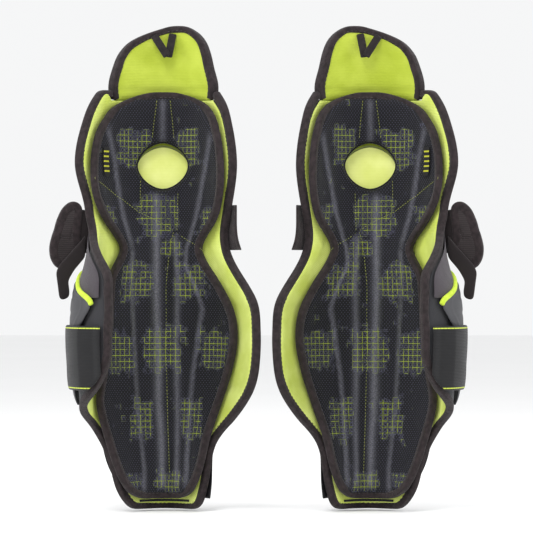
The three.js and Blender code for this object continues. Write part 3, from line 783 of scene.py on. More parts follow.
def printed_label():
    """A dark woven label with rows of short lime dashes that spell nothing."""
    s = Shader("printed_label", 0.7, 0.3)
    _, v = s.surface_mm()
    rows = s.ramp(s.math("ABSOLUTE", s.cells(v, 5.4)), 0.2, 0.14)
    dashes = s.ramp(s.attribute("border"), 2.4, 2.9)
    s.colour(s.mix(s.times(rows, dashes), "1C1B1D", "A8A82C"))
    s.raise_by(s.noise(0.0012), 0.2)
    return s.material


def hook_pile():
    """The pile of hook fabric."""
    s = Shader("hook_pile", 0.95, 0.2)
    pile = s.noise(0.0009, 2.0)
    s.colour(s.mix(pile, "0E0E10", "38383C"))
    s.raise_by(pile, 0.6)
    s.sheen(0.3)
    return s.material


def thread(name, colour, pale):
    """Sewing thread."""
    s = Shader(name, 0.6, 0.3)
    s.colour(s.mix(s.noise(0.004), colour, pale))
    s.raise_by(s.noise(0.0006), 0.1)
    s.sheen(0.3)
    return s.material


def brushed_steel():
    """The rivets' steel."""
    s = Shader("brushed_steel", 0.32, 0.5)
    s.surface.inputs["Metallic"].default_value = 1.0
    brushing = s.noise(0.0006, 2.0)
    s.colour(s.mix(brushing, "8E9094", "B4B6BA"))
    s.put(s.surface.inputs["Roughness"], s.math("MULTIPLY_ADD", brushing, 0.25, 0.2))
    s.raise_by(brushing, 0.02)
    return s.material


LIME = lime_mesh()
PRINT = liner_print()
TAPE = tape_weave()
CUP_LIME = lime_mesh("cup_mesh", "DCE47E", "ECF29A", depth=0.3)
# The kneecap hole's wall: the lime darkened to olive as painted shade.
SHADED_LIME = lime_mesh("cup_wall", "56600C", "6B7714", depth=0.3)
FLAP_LIME = lime_mesh("flap_mesh", "9FAE34", "B2C048", depth=0.5)
LABEL = printed_label()
ELASTIC = ribbed_elastic("strap_elastic", "101012", "1F1F21", pitch=1.6, sewn=2.6)
RIBBED = ribbed_elastic("ribbed_stretch", "171314", "3A3233", pitch=2.2)
CANVAS = plain_weave("shell_canvas", "1B1B1E", "343438", pitch=1.3)
GREY_CLOTH = plain_weave("grey_cloth", "312C31", "4A444A", pitch=0.9)
FELT = plain_weave("strap_felt", "1A1617", "2E2728", pitch=0.8, roughness=0.9)
WEBBING = tape_weave("webbing", "141112", "2A2425", pitch=1.1)
PIPING = tape_weave("lime_piping", "B4CE2C", "CFE74A", pitch=1.2)
SHELL = moulded_plastic("shell_black", "0D0D0F", "19191C")
PLATE = moulded_plastic("plate_grey", "2B2B2E", "3C3C40", 0.48)
PILE = hook_pile()
DARK_THREAD = thread("dark_thread", "1E1A1B", "3A3334")
LIME_THREAD = thread("lime_thread", "6F7726", "9AA43C")
STEEL = brushed_steel()

# ---------------------------------------------------------------- the foam wrap

LAYER_MIDDLE = WRAP_THICKNESS / 2
WING_SEAMS = [[(-120, 227), (-85, 224), (-50, 221)], [(-120, 143), (-85, 140), (-50, 136)]]
KNEE_FOLD = [(-44, 300), (-50, 280), (-62, 258)]


def horn_top(reach):
    """Upper edge of the wrap: level at the flap's seam, and up to the horns beside it."""
    return SEAM_HEIGHT + 3 + (HORN_TOP - SEAM_HEIGHT - 6) * smoothstep(58, 62, np.abs(reach))


def under(outline, angles, z, low, high, margin):
    """1 where a piece with that outline covers the surface, falling to 0 over margin at its edge."""
    return smoothstep(0, margin, edge_distance(angles, z, outline, low, high))


def nearest(x, z, lines):
    """Distance to the nearest of several chains."""
    return np.min([distance_to_line(x, z, line) for line in lines], axis=0)


def wrap_foam():
    """The foam of the shin, knee sides and wings, its medial wing quilted."""
    angles, z = grid(wrap_outline, 4, HORN_TOP - 3, 72, 96, edge=3.5, top=horn_top)
    x = section(angles, z, 0)[..., 0]
    distance = edge_distance(angles, z, wrap_outline, WRAP_LOW, HORN_TOP)
    seams = bump(nearest(x, z, WING_SEAMS), 2.4) * (x < 0)
    folds = bump(distance_to_line(x, z, KNEE_FOLD), 3.5)
    edge_drop = 2.2 * bump(distance, 6)
    inner = edge_drop + 2.2 * seams + 1.4 * folds + 0.35 * ripple(x, z, 26, 3)
    outer = WRAP_THICKNESS - edge_drop - 1.4 * seams
    obj = slab("wrap_foam", angles, z, inner, outer, two_materials=True)
    held_edge = smoothstep(11, 5, distance)
    held_inner = np.maximum(held_edge, under(liner_outline, angles, z, LINER_LOW, LINER_HIGH, 6))
    held_inner = np.maximum(held_inner, smoothstep(0.4, 0.8, seams + folds))
    held_outer = np.maximum(held_edge, under(shin_outline, angles, z, SHIN_LOW, SHIN_HIGH, 4))
    held_outer = np.maximum(held_outer, under(knee_outline, angles, z, KNEE_LOW, KNEE_HIGH, 4))
    calf_cover = (constant(55, 55)[0], wrap_outline[1])
    held_outer = np.maximum(held_outer, under(calf_cover, angles, z, 110, 275, 3))
    swell(obj, [held_inner, held_outer], cap=2.0)
    hand_over(obj, "guard", LIME, ["wrap_pad"], levels=1, second=CANVAS)


def tape(name, body, outline, low, high, offset, thickness, width, parts, nodes=(), overhang=1.6,
         blend=None, passes=6, horn=None):
    """Binding tape round an edge, and the row of thread that sews it on."""
    path, normals = edge_path(outline, low, high, offset, parts, passes=passes, horn=horn)
    closed = len(parts) == 4
    along = np.arange(len(path)) * TAPE_STEP
    widths = 1 + 0.035 * np.sin(along / 9.3 + np.sin(along / 31)) + 0.02 * np.sin(along / 4.1)
    profile = tape_profile(width, thickness, overhang=overhang)
    obj = swept(name, path, normals, profile, closed, widths)
    hand_over(obj, body, TAPE, nodes, blend=blend, levels=1)
    inward, upright = frames_of(path, normals, closed)
    sewn = path + inward * (width - 1.9) - upright * (thickness / 2 - 0.25)
    thread_row = stitches(name + "_stitching", sewn, -upright)
    hand_over(thread_row, body, DARK_THREAD, blend=blend)


# ---------------------------------------------------------------- the liner

LINER_MIDDLE = (LINER_FRONT + LINER_BACK) / 2
HOLE_CENTRE = (3.5, 382.0)
HOLE_RADII = (29.5, 27.0)
HOLE_SHAPE = 1.75  # 2 is an ellipse, 1 a diamond
HOLE_RIM = 1.7

MAIN_RIDGE = [(11, 345), (10.5, 235), (8, 170), (7.5, 120), (4.5, 80), (3, 30)]
SIDE_RIDGE = [(-11, 300), (-14, 250), (-12.3, 175), (-14, 100), (-14.7, 30)]
BROW_RIDGE = [(3, 462), (4, 412)]
CENTRE_SEAM = [(-9, 309), (-4, 285), (-0.5, 250), (-1, 160), (-2.6, 100), (-5, 40)]
WAIST_SEAM = [(76, 368), (50, 345), (30, 330), (0, 316), (-10, 309), (-34, 293), (-44, 285)]
PANEL_SEAMS = [[(29, 366), (29, 331)], [(-14, 352), (-13, 308)]]
BROW_SEAMS = [[(10, 455), (14, 428), (16, 411)], [(-5, 455), (-8, 428), (-9, 411)]]
LATERAL_CREASE = [(66, 422), (60, 390), (55, 355), (49, 323), (42, 300), (39, 285), (41, 262), (38, 200),
                  (34, 120), (26, 46)]
MEDIAL_CREASE = [(-55, 426), (-47, 376), (-37, 325), (-26, 290), (-19, 255)]
WING_CREASE = [(-52, 250), (-39, 194), (-33, 150), (-30, 118), (-27.6, 74), (-26, 33)]
PLATEAU_MEDIAL = WING_CREASE[:0:-1] + [(-44, 225), (-34, 252), (-25, 270)] + MEDIAL_CREASE[-2::-1]
PLATEAU_LATERAL = LATERAL_CREASE[::-1]

# Where the lime grid is printed: across, up, half width and half height.
PRINTED = [(35, 402, 18, 20), (-26, 403, 13, 20), (8, 325, 22, 22), (-8, 290, 12, 9), (31, 252, 18, 20),
           (-28, 254, 17, 20), (51, 175, 17, 22), (2, 178, 21, 24), (-57, 178, 19, 20), (26, 100, 12, 22),
           (-29, 103, 11, 20), (-4, 32, 14, 12), (34, 34, 8, 8), (62, 322, 8, 14), (-48, 322, 8, 14),
           (60, 232, 6, 14)]


def plateau(x, z, edge):
    """1 on the raised middle of the liner, falling to 0 over edge millimetres at its creases."""
    medial, lateral = [np.interp(z, [up for _, up in line], [across for across, _ in line])
                       for line in (PLATEAU_MEDIAL, PLATEAU_LATERAL)]
    return smoothstep(0, edge, x - medial) * smoothstep(0, edge, lateral - x)


def liner_relief(x, z, distance):
    """Height of the liner's face towards the leg, over its plain curve."""
    lines = [(3.6, MAIN_RIDGE, 6), (2.0, BROW_RIDGE, 5), (2.6, SIDE_RIDGE, 4.5), (-2.0, CENTRE_SEAM, 3),
             (-1.3, WAIST_SEAM, 2.6), (-1.2, WING_CREASE, 3)]
    lines += [(-1.2, seam, 2.4) for seam in PANEL_SEAMS + BROW_SEAMS]
    relief = sum(height * bump(distance_to_line(x, z, line), width) for height, line, width in lines)
    panel = 1.6 * smoothstep(-14, -9, x) * smoothstep(29, 25, x)
    panel = panel * smoothstep(306, 314, z) * smoothstep(372, 362, z)
    middle = 2.6 * plateau(x, z, 5) + 1.0 * plateau(x, z, 3) * (1 - plateau(x, z, 9))
    wrinkles = 0.55 * ripple(x, z, 30, 5) + 0.4 * ripple(x * 1.7, z * 0.8, 15, 8)
    wrinkles = wrinkles + 0.25 * ripple(x, z * 1.6, 9, 9)
    fade = smoothstep(1, 14, distance)
    return (relief + panel + middle + wrinkles) * fade - 3.2 * bump(distance, 6.5)


def hole_level(x, z):
    """1 on the edge of the kneecap hole, less inside it."""
    across = np.abs(x - HOLE_CENTRE[0]) / HOLE_RADII[0]
    up = np.abs(z - HOLE_CENTRE[1]) / HOLE_RADII[1]
    return (across ** HOLE_SHAPE + up ** HOLE_SHAPE) ** (1 / HOLE_SHAPE)


def liner_cushion():
    """The quilted liner, its two panels in one, with its print and its kneecap hole."""
    angles, z = grid(liner_outline, LINER_LOW + 2.5, LINER_HIGH - 1.5, 64, 112, edge=3.0, power=0.9)
    x = section(angles, z, LINER_BACK)[..., 0]
    distance = edge_distance(angles, z, liner_outline, LINER_LOW, LINER_HIGH)
    relief = liner_relief(x, z, distance)
    shown = np.zeros_like(x)
    for across, up, half_width, half_height in PRINTED:
        inside = np.maximum(np.abs(x - across) / half_width, np.abs(z - up) / half_height)
        shown = np.maximum(shown, smoothstep(1.45, 0.55, inside))
    # Painted highlight: thin lines just inside the raised middle's creases, and bands along the ridges,
    # where the shader paints a pale glint into the colour.
    stretched = 0.8 * plateau(x, z, 2) * (1 - plateau(x, z, 6))
    for ridge, amount, width in ((MAIN_RIDGE, 0.75, 4.5), (SIDE_RIDGE, 0.55, 3.2), (BROW_RIDGE, 0.5, 3.5)):
        stretched = np.maximum(stretched, amount * bump(distance_to_line(x, z, ridge), width))
    attributes = {"print": shown * smoothstep(5, 10, distance),
                  "stretched": stretched * smoothstep(3, 14, distance)}
    seams = nearest(x, z, [WAIST_SEAM, CENTRE_SEAM, LATERAL_CREASE, MEDIAL_CREASE, WING_CREASE]
                    + PANEL_SEAMS + BROW_SEAMS)
    held = np.maximum(smoothstep(10, 4, distance), smoothstep(4.5, 1.5, seams))
    obj = slab("liner_cushion", angles, z, LINER_BACK - relief, np.full_like(x, LINER_FRONT), attributes)
    held = np.maximum(held, smoothstep(1.35, 1.1, hole_level(x, z)))
    swell(obj, [held, np.ones_like(held)], pressure=4.5, cap=2.6)
    cut_knee_hole(obj)
    hand_over(obj, "liner", PRINT, ["liner_knee_panel", "liner_shin_panel"], levels=1)


def cut_knee_hole(obj):
    """Opens the kneecap hole through both faces, with its wall."""
    mesh = bmesh.new()
    mesh.from_mesh(obj.data)

    def level(point):
        return float(hole_level(point.x, point.z))

    inside = [face for face in mesh.faces if level(face.calc_center_median()) < 1]
    bmesh.ops.delete(mesh, geom=inside, context="FACES")
    rims = [edge for edge in mesh.edges if edge.is_boundary]
    for vertex in {v for edge in rims for v in edge.verts}:
        size = level(vertex.co)
        vertex.co.x = HOLE_CENTRE[0] + (vertex.co.x - HOLE_CENTRE[0]) / size
        vertex.co.z = HOLE_CENTRE[1] + (vertex.co.z - HOLE_CENTRE[1]) / size
    bmesh.ops.bridge_loops(mesh, edges=rims)
    for face in mesh.faces:
        face.smooth = True
    mesh.to_mesh(obj.data)
    mesh.free()


def hole_path(offset, wider=1.0, taller=1.0, count=72):
    """The kneecap hole's outline on the liner at an offset, widened, and its upper half made taller."""
    turn = np.linspace(0, 2 * math.pi, count, endpoint=False)
    c, s = np.cos(turn), np.sin(turn)
    size = (np.abs(c) ** HOLE_SHAPE + np.abs(s) ** HOLE_SHAPE) ** (-1 / HOLE_SHAPE)
    x = HOLE_CENTRE[0] + HOLE_RADII[0] * size * c * wider
    z = HOLE_CENTRE[1] + HOLE_RADII[1] * size * s * np.where(s > 0, taller, wider)
    angles = angle_at(x, z, offset)
    points = section(angles, z, offset)
    return points, section(angles, z, offset + 1) - points


def on_liner(points, lift=0.0, step=2.0):
    """A chain of (x, z) points laid on the liner's face."""
    flat = eased(resampled(points, step, False), 3, False)
    x, z = flat[:, 0], flat[:, 1]
    angles = angle_at(x, z, LINER_BACK)
    distance = edge_distance(angles, z, liner_outline, LINER_LOW, LINER_HIGH)
    offset = LINER_BACK - liner_relief(x, z, distance) - lift
    placed = section(angles, z, offset)
    return placed, section(angles, z, offset - 1) - placed


def joined(name, parts):
    """Several meshes as one."""
    mesh = bmesh.new()
    for part in parts:
        mesh.from_mesh(part.data)
        bpy.data.objects.remove(part)
    data = bpy.data.meshes.new(name)
    mesh.to_mesh(data)
    mesh.free()
    obj = bpy.data.objects.new(name, data)
    bpy.context.scene.collection.objects.link(obj)
    return obj


def liner_stitching():
    """Lime thread along the liner's seams."""
    rows = []
    for i, line in enumerate([CENTRE_SEAM, WAIST_SEAM] + PANEL_SEAMS + BROW_SEAMS):
        points, normals = on_liner(line, lift=0.5)
        rows.append(stitches(f"row_{i}", points, normals, length=2.4, gap=1.2, radius=0.3))
    hand_over(joined("liner_seam_stitching", rows), "liner", LIME_THREAD)


def knee_hole_trim():
    """The hole's rolled rim, and its lime wall, which leans back under the upper half and is coloured a dark
    olive lime as painted shade.
    """
    path, normals = hole_path(LINER_BACK + 1.2)
    turn = np.linspace(0, 2 * math.pi, 12, endpoint=False)
    roll = np.stack([HOLE_RIM * np.cos(turn), HOLE_RIM * np.sin(turn)], -1)
    hand_over(swept("knee_hole_rim", path, normals, roll, True), "liner", PRINT, levels=1)
    rings = [hole_path(offset, wider, taller)[0] for offset, wider, taller in (
        (LINER_BACK + 2, 0.995, 0.995), (LINER_FRONT, 0.96, 0.78), (LINER_FRONT, 0.99, 0.82),
        (LINER_BACK + 3, 1.02, 1.02))]
    count = len(rings[0])
    index = np.arange(len(rings) * count).reshape(len(rings), count)
    after = np.roll(index, -1, axis=1)
    faces = np.stack([index, after, np.roll(after, -1, axis=0), np.roll(index, -1, axis=0)], -1)
    points = np.concatenate(rings)
    wall = mesh_of("knee_hole_wall", points, faces.reshape(-1, 4), points[:, [0, 2]])
    outward(wall)
    hand_over(wall, "liner", SHADED_LIME)


# ---------------------------------------------------------------- the thigh flap

FLAP_BLEND = ((0, 63, 450), (0, 63, 464))
FLAP_EDGE = 14.0  # from the flap's edge to its plate
PLATE_LOW, PLATE_HIGH = 480.0, 524.0


def flap_cushion():
    """The thigh flap's foam, thinner where it is sewn on."""
    angles, z = grid(flap_outline, SEAM_HEIGHT + 1.5, HEIGHT - 3, 30, 26, edge=3.0, power=0.85)
    x = section(angles, z, 0)[..., 0]
    distance = edge_distance(angles, z, flap_outline, SEAM_HEIGHT - 2, HEIGHT)
    seam = bump(z - HORN_TOP, 2.0)
    inner = 1.6 * bump(distance, 6) + 1.2 * seam + 0.3 * ripple(x, z, 24, 11)
    outer = WRAP_THICKNESS - 1.6 * bump(distance, 6)
    obj = slab("flap_cushion", angles, z, inner, outer, two_materials=True)
    held = np.maximum(smoothstep(9, 4, distance), smoothstep(0.5, 0.9, seam))
    plate = under(flap_outline, angles, z, PLATE_LOW - 4, PLATE_HIGH + 4, 20)
    swell(obj, [held, np.maximum(held, plate)], cap=2.4)
    hand_over(obj, "flap", FLAP_LIME, ["thigh_flap"], levels=1, second=CANVAS,
              blend=("guard", *FLAP_BLEND))


def pull_loop():
    """Webbing folded into a V, its two ends sewn under the flap's top binding."""
    back = section(0, 525, 0)[1] - 4.2
    half = 4.3
    t = np.linspace(0, 1, 14)
    legs = []
    for i, (top, tip, bow) in enumerate((((-8, 529), (-3, 502), 0.0), ((13, 527), (-2, 503), 1.7))):
        depth = back - bow - 4.5 * np.sin(math.pi * t * 0.5) + 2.4 * (1 - t)
        path = np.stack([top[0] + (tip[0] - top[0]) * t, depth, top[1] + (tip[1] - top[1]) * t], -1)
        normals = np.broadcast_to([0.0, -1.0, 0.0], path.shape)
        profile = tape_profile(2 * half, 1.5, count=16, squareness=0.3, overhang=0.0) - [[half, 0]]
        legs.append(swept(f"leg_{i}", path, normals, profile, False))
    hand_over(joined("loop_webbing", legs), "pull", WEBBING, ["pull_loop"], levels=1)


# ---------------------------------------------------------------- shells, plates and sewn patches


def shell(name, body, outline, low, high, inner, material, node, relief, columns, rows):
    """A moulded shell with a rolled edge."""
    angles, z = grid(outline, low, high, columns, rows, power=0.9)
    distance = edge_distance(angles, z, outline, low, high)
    roll = 1.6 * bump(distance, 2.2)
    height = relief(np.degrees(angles), z, distance)
    outer = inner + SHELL_THICKNESS + height - roll
    obj = slab(name, angles, z, inner + 0.1 * height + 0.3 * roll, outer)
    hand_over(obj, body, material, [node], levels=1)


def shin_relief(degrees, z, distance):
    """A spine, a rib to each side of it and a ladder of slanting steps between them."""
    spine = 4.0 * np.clip(1 - np.abs(degrees) / 15, 0, 1) ** 1.3
    spine = spine * smoothstep(8, 40, z) * smoothstep(318, 285, z)
    ribs = 0.0
    for at in (-32, 32):
        ribs = ribs + 1.6 * bump(degrees - at, 3.0) * smoothstep(30, 60, z) * smoothstep(290, 250, z)
    steps = 0.0
    for level in range(70, 270, 34):
        slant = z - level + 0.5 * np.abs(degrees)
        steps = steps - 1.2 * bump(slant, 2.6) * bump(np.abs(degrees) - 23, 5.5)
    return (spine + ribs + steps) * smoothstep(2, 9, distance)


def knee_relief(degrees, z, distance):
    """A dome in a ring, with a row of slots."""
    across = degrees / 30
    up = (z - 384) / 50
    size = np.hypot(across, up)
    dome = 2.4 * smoothstep(1.15, 0.2, size)
    ring = 1.3 * bump(size - 0.86, 0.08) - 0.9 * bump(size - 1.02, 0.06)
    slots = 0.0
    for at in (-20, -10, 0, 10, 20):
        slots = slots - 1.3 * bump(degrees - at, 1.6) * smoothstep(352, 358, z) * smoothstep(378, 372, z)
    return (dome + ring + slots) * smoothstep(2, 9, distance)


def flap_plate_relief(_degrees, z, distance):
    """Level grooves."""
    ribs = -0.8 * bump(((z - 484) % 11) - 5.5, 1.4)
    return ribs * smoothstep(3, 10, distance)


def calf_relief(degrees, z, distance):
    """Level slots, and a line moulded along the edge."""
    slots = -0.9 * bump(((z - 120) % 18) - 9, 1.8) * smoothstep(72, 76, degrees)
    return slots * smoothstep(4, 10, distance) + 0.8 * bump(distance - 9, 2.0)


def patch(name, body, outline, low, high, inner, thickness, material, nodes, columns=24, rows=16,
          wave=0.25, seed=20, border=False, levels=1, blend=None):
    """A flat sewn or stuck piece inside an outline. Where border is set, its shader is told how far each
    point is from the level edges."""
    angles, z = grid(outline, low, high, columns, rows, power=0.85)
    distance = edge_distance(angles, z, outline, low, high)
    lift = wave * ripple(arc_lengths(angles, z), z, 35, seed) * smoothstep(0, 6, distance)
    drop = 0.35 * thickness * bump(distance, 1.2)
    attributes = {"border": np.minimum(z - low, high - z)} if border else None
    if callable(inner):
        inner = inner(angles)
    obj = slab(name, angles, z, inner + lift + drop, inner + thickness + lift - drop, attributes)
    hand_over(obj, body, material, nodes, levels=levels, blend=blend)


def shells():
    """The plastic pieces and the calf plate's piping."""
    shell("shin_plastic", "guard", shin_outline, SHIN_LOW, SHIN_HIGH, SHELL_INNER, SHELL, "shin_shell",
          shin_relief, 64, 110)
    shell("knee_plastic", "knee_cap", knee_outline, KNEE_LOW, KNEE_HIGH, 14.0, SHELL, "knee_shell",
          knee_relief, 64, 64)
    shell("flap_plastic", "flap", pulled_in(flap_outline, FLAP_EDGE), PLATE_LOW, PLATE_HIGH, 11.2, PLATE,
          "thigh_flap_plate", flap_plate_relief, 36, 28)
    calf = (calf_outline[0], pulled_in(calf_outline, 4)[1])
    shell("calf_plastic", "guard", calf, 118, 263, CALF_INNER, PLATE, "calf_plate",
          calf_relief, 32, 60)
    path, normals = edge_path(calf_outline, 230, 266, CALF_INNER + 1.7, ("top", "lateral"), step=2.5)
    profile = tape_profile(6, 4.8, squareness=0.8, overhang=0.4)
    hand_over(swept("piping_cord", path, normals, profile, False), "guard", PIPING, ["calf_piping"],
              levels=1)


def sewn_patches():
    """The cloth, webbing and hook pieces sewn to the wrap and the liner, and a dark strip of painted shade
    in the slit above the hem.
    """
    gusset = (constant(60, 60)[0], lambda z: wrap_outline[1](z) - np.radians(7))
    patch("gusset_cloth", "guard", gusset, 236, 318, SHELL_INNER, 1.5, GREY_CLOTH, ["gusset"],
          wave=0.3, seed=31)
    patch("medial_tab_pad", "guard", constant(-68, -50), 288, 338, SHELL_INNER, 2.5, TAPE, ["medial_tab"],
          wave=0.3, seed=32)
    patch("cup_lining", "guard", constant(-24, 26), 345, 420, PATCH_FACE, PATCH_THICKNESS, CUP_LIME,
          ["knee_cup_lining"], wave=0.4, seed=33)
    hooks = (("brow", (-24, 26), 428, 446, 34), ("calf", (-26, 26), 180, 230, 35),
             ("ankle", (-20, 20), 36, 66, 36))
    for place, edges, low, high, seed in hooks:
        patch(f"{place}_hooks", "guard", constant(*edges), low, high, PATCH_FACE, PATCH_THICKNESS, PILE,
              [f"hook_patch_{place}"], seed=seed)
    patch("knee_web", "knee_cap", constant(-14, 14), 392, 416, 10.6, 1.5, WEBBING, ["knee_shell_web"],
          seed=37)
    # A dark strip in the hook pile's material, laid in the gap between the hem's binding and the liner's:
    # painted shade for that slit.
    patch("hem_slit", "guard", constant(-33, 33), 9.6, 12.2, -0.5, 1.2, PILE, [], seed=39,
          rows=4, levels=0)
    patch("side_label", "liner", constant(54, 61), 370, 402, LINER_BACK - 3.4, 1.0, LABEL,
          ["liner_side_tag"], seed=38, columns=16, border=True)


# ---------------------------------------------------------------- straps

STRAP_END = 131.0  # degrees round to the anchor
STRAP_INNER = 18.4
STRAP_THICKNESS = 2.5
STRAP_CORNER = curve((133, 116), (145, 126), (160, STRAP_END + 3))


def strap_offset(angles):
    """The strap's inner face: it comes down to the wing past the calf plate."""
    return STRAP_INNER - 5.8 * np.clip((np.degrees(angles) - 120) / (STRAP_END - 120), 0, 1)


def calf_strap():
    """The calf strap, the hooks on its end, the loops they hold to, and its anchor."""
    end = STRAP_END + 6
    outline = (constant(26, 26)[0], lambda z: np.radians(np.minimum(end, STRAP_CORNER(z) + 6)))
    root = section(np.radians([end, STRAP_END - 6]), 171, 13)
    patch("strap_elastic", "calf_strap", outline, 136, 206, strap_offset, STRAP_THICKNESS, ELASTIC,
          ["calf_strap"], columns=90, rows=30, wave=0.5, seed=40, border=True,
          blend=("guard", root[0], root[1]))
    patch("strap_hooks", "calf_strap", constant(10, 25.5), 144, 198, STRAP_INNER, STRAP_THICKNESS, PILE,
          ["calf_strap_hook_tab"], seed=41)
    patch("strap_loops", "guard", constant(14, 40), 148, 194, 16.0, 1.0, PILE, ["calf_strap_loop_patch"],
          seed=42)
    patch("strap_anchor", "guard", constant(STRAP_END + 0.5, STRAP_END + 5), 160, 198, 11.6, 0.7, WEBBING,
          ["calf_strap_anchor"], columns=8, seed=43, wave=0.05)


KNEE_STRAP_PLACE = Matrix.Translation((92, 4.4, 0)) @ Matrix.Rotation(math.radians(-16), 4, "Z")
KNEE_STRAP_END = [(0, 290), (0, 340), (9, 344), (19, 337), (28, 321), (34, 304), (36, 288), (34, 276),
                  (27, 266), (17, 266), (7, 276)]
KNEE_STRAP_FOLD = [(-4, 306), (2, 298), (13, 286), (26, 272), (30, 264), (28, 250), (26, 234), (24, 232),
                   (15, 235), (14, 240), (16, 254), (9, 266), (-4, 281)]
POCKET_EDGE = [(26, 303), (12, 301), (5, 326), (2, 338)]
KNEE_STRAP_WEB = [(-14, 284), (-14, 330), (0, 334), (7, 330), (7, 288), (0, 284)]
KNEE_STRAP_MIDDLE = np.array([17.0, 305.0])
KNEE_STRAP_HALF = 3.6


def strap_outline(shrink, step=2.5):
    """The knee strap's padded end: its outline, eased, and pulled in by shrink."""
    chain = eased(resampled(KNEE_STRAP_END, step, True), 4, True)
    away = chain - KNEE_STRAP_MIDDLE
    size = np.linalg.norm(away, axis=1, keepdims=True)
    return KNEE_STRAP_MIDDLE + away * (size - shrink) / size


def on_knee_strap(obj):
    """Carries a piece drawn flat, in x and z, to where the knee strap is."""
    obj.data.transform(KNEE_STRAP_PLACE)
    return obj


def cushion_of(name, corners, middle, half, back):
    """A flat cut piece with rounded edges, half a thickness to each side of y = back."""
    middle = np.array(middle, float)
    outline = eased(resampled(corners, 2.5, True), 2, True)
    count = len(outline)
    shares = np.array([0.35, 0.7, 0.93, 1.0, 0.93, 0.7, 0.35])
    depths = half * np.array([-1, -1, -0.9, 0, 0.9, 1, 1]) + back
    points, uv = [(middle[0], back - half, middle[1])], [middle]
    for share, depth in zip(shares, depths):
        ring = middle + (outline - middle) * share
        points.extend(zip(ring[:, 0], np.full(count, depth), ring[:, 1]))
        uv.extend(ring)
    points.append((middle[0], back + half, middle[1]))
    uv.append(middle)
    last = len(points) - 1
    faces = []
    for k in range(count):
        after = (k + 1) % count
        faces.append((0, 1 + k, 1 + after))
        faces.append((last, last - count + after, last - count + k))
        for ring in range(len(shares) - 1):
            low = 1 + ring * count
            faces.append((low + k, low + count + k, low + count + after, low + after))
    obj = mesh_of(name, points, faces, np.array(uv))
    outward(obj)
    return obj


def knee_strap_cushion():
    """The knee strap's padded end, with a pocket sewn across it."""
    outline = strap_outline(3.5)
    shares = np.linspace(0, 1, 15)[1:]
    rings = KNEE_STRAP_MIDDLE + (outline - KNEE_STRAP_MIDDLE)[None] * shares[:, None, None]
    x, z = rings[..., 0], rings[..., 1]
    edge = (1 - shares)[:, None] * np.linalg.norm(outline - KNEE_STRAP_MIDDLE, axis=1)[None]
    pocket = bump(distance_to_line(x, z, POCKET_EDGE), 2.0)
    half = KNEE_STRAP_HALF - 1.9 * bump(edge, 4) - 0.9 * pocket + 0.3 * ripple(x, z, 18, 50)
    count = len(outline)
    points, uv, faces = [], [], []
    for sign in (-1, 1):
        base = len(points)
        points.append((KNEE_STRAP_MIDDLE[0], sign * KNEE_STRAP_HALF, KNEE_STRAP_MIDDLE[1]))
        uv.append(KNEE_STRAP_MIDDLE)
        for ring in range(len(shares)):
            points.extend(zip(x[ring], sign * half[ring], z[ring]))
            uv.extend(zip(x[ring], z[ring]))
        for k in range(count):
            after = (k + 1) % count
            faces.append((base, base + 1 + k, base + 1 + after))
            for ring in range(len(shares) - 1):
                low = base + 1 + ring * count
                faces.append((low + k, low + count + k, low + count + after, low + after))
    size = 1 + len(shares) * count
    near = size - count
    for k in range(count):
        after = (k + 1) % count
        faces.append((near + k, near + size + k, near + size + after, near + after))
    obj = mesh_of("knee_strap_cushion", points, faces, np.array(uv))
    outward(obj)
    centre_free = np.zeros(1)
    held = np.concatenate([centre_free, np.maximum(smoothstep(7, 3, edge), pocket > 0.5).ravel()] * 2)
    swell(obj, held, cap=1.6)
    hand_over(on_knee_strap(obj), "knee_strap", RIBBED, ["knee_strap_pad"], levels=1)


def knee_strap_trim():
    """The end's binding, the folded tab, the web that joins it to the wrap and the pocket's stitching."""
    rim = strap_outline(4.5)[::-1]
    path = np.stack([rim[:, 0], np.zeros(len(rim)), rim[:, 1]], -1)
    normals = np.broadcast_to([0.0, 1.0, 0.0], path.shape)
    turned_in = frames_of(path, normals, True)[0]
    if (turned_in[:, [0, 2]] * (KNEE_STRAP_MIDDLE - rim)).sum() < 0:
        path = path[::-1]
    binding = swept("knee_strap_tape", path, normals, tape_profile(7, 8.2, overhang=3.5), True)
    hand_over(on_knee_strap(binding), "knee_strap", TAPE, ["knee_strap_binding"], levels=1)
    folded = cushion_of("knee_strap_fold", KNEE_STRAP_FOLD, (20, 263), 1.4, -5.9)
    hand_over(on_knee_strap(folded), "knee_strap", FELT, ["knee_strap_fold"], levels=1)
    web = cushion_of("knee_strap_web", KNEE_STRAP_WEB, (-3, 308), 1.3, 0)
    reach = [KNEE_STRAP_PLACE @ Vector((across, 0, 300)) for across in (-11, 5)]
    hand_over(on_knee_strap(web), "knee_strap", FELT, levels=1,
              blend=("guard", reach[0], reach[1]))
    line = eased(resampled(POCKET_EDGE, 2.0, False), 1, False)
    sewn_path = np.stack([line[:, 0], np.full(len(line), -3.3), line[:, 1]], -1)
    facing_leg = np.broadcast_to([0.0, -1.0, 0.0], sewn_path.shape)
    sewn = stitches("knee_strap_stitching", sewn_path, facing_leg)
    hand_over(on_knee_strap(sewn), "knee_strap", DARK_THREAD)


# ---------------------------------------------------------------- the whole pair

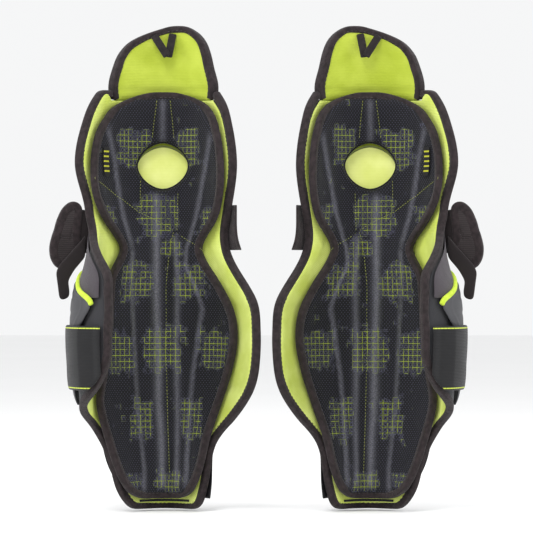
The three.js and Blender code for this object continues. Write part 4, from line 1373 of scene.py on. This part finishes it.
wrap_foam()
tape("wrap_tape", "guard", wrap_outline, WRAP_LOW, HORN_TOP - 2, LAYER_MIDDLE + 1.2, 9.2, 6.6,
     ("lateral", "base", "medial"), ["wrap_binding"], passes=3, horn=56)
liner_cushion()
tape("liner_tape", "liner", liner_outline, LINER_LOW + 2, LINER_HIGH - 0.5, LINER_MIDDLE, 8.2, 6.6,
     ("lateral", "base", "medial", "top"), ["liner_binding"], passes=4)
liner_stitching()
knee_hole_trim()
flap_cushion()
tape("flap_tape", "flap", flap_outline, SEAM_HEIGHT + 3, HEIGHT - 1.2, LAYER_MIDDLE, 12.0, 6.8,
     ("medial", "top", "lateral"), ["thigh_flap_binding"], overhang=1.1, blend=("guard", *FLAP_BLEND),
     passes=3)
pull_loop()
shells()
sewn_patches()
calf_strap()
knee_strap_cushion()
knee_strap_trim()
for side in SIDES:
    for place in ("medial", "lateral"):
        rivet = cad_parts[f"{side}_knee_rivet_{place}"]
        rivet = bpy.data.objects[rivet] if isinstance(rivet, str) else rivet
        rivet.data.materials.clear()
        rivet.data.materials.append(STEEL)

# ---------------------------------------------------------------- the studio

CAMERA_DISTANCE = 3.5
CAMERA_HEIGHT = 0.270
VIEW_WIDTH = 0.586
FLOOR_REACH = 9
FLOOR_LEVEL = -0.0006
SENSOR = 36


def area_light(name, place, target, size, power):
    """A rectangular light of size metres, in watts, facing its target."""
    light = bpy.data.lights.new(name, "AREA")
    light.shape = "RECTANGLE"
    light.size, light.size_y = size
    light.energy = power
    obj = bpy.data.objects.new(name, light)
    bpy.context.scene.collection.objects.link(obj)
    obj.location = place
    obj.rotation_euler = (Vector(target) - Vector(place)).to_track_quat("-Z", "Y").to_euler()


camera = bpy.data.objects.new("camera", bpy.data.cameras.new("camera"))
bpy.context.scene.collection.objects.link(camera)
camera.location = (0, -CAMERA_DISTANCE, CAMERA_HEIGHT)
camera.rotation_euler = (math.radians(90), 0, 0)
camera.data.sensor_width = SENSOR
camera.data.lens = SENSOR * CAMERA_DISTANCE / VIEW_WIDTH
camera.data.clip_start = 0.05
camera.data.clip_end = 100
bpy.context.scene.camera = camera

floor_mesh = bpy.data.meshes.new("floor")
floor_corners = [(x * FLOOR_REACH, y * FLOOR_REACH, FLOOR_LEVEL)
                 for x, y in ((-1, -1), (1, -1), (1, 1), (-1, 1))]
floor_mesh.from_pydata(floor_corners, [], [(0, 1, 2, 3)])
floor = bpy.data.objects.new("floor", floor_mesh)
bpy.context.scene.collection.objects.link(floor)
paper = Shader("floor_paper", 0.9, 0.1)
paper.colour(paper.mix(paper.noise(0.4), (0.9, 0.9, 0.9, 1), (0.93, 0.93, 0.93, 1)))
floor_mesh.materials.append(paper.material)

world = bpy.data.worlds.new("studio")
world.use_nodes = True
world.node_tree.nodes["Background"].inputs[0].default_value = (0.99, 0.995, 1, 1)
world.node_tree.nodes["Background"].inputs[1].default_value = 0.93
bpy.context.scene.world = world
bpy.context.scene.view_settings.view_transform = "Standard"

area_light("key", (-0.5, -1.6, 2.2), (0, 0, 0.3), (0.9, 0.9), 30)
area_light("left", (-1.9, -0.7, 0.8), (0, 0, 0.25), (0.6, 1.2), 14)
area_light("right", (1.9, -0.7, 0.8), (0, 0, 0.25), (0.6, 1.2), 14)
area_light("top", (0, 0.3, 2.4), (0, 0, 0.2), (1.6, 1.2), 14)
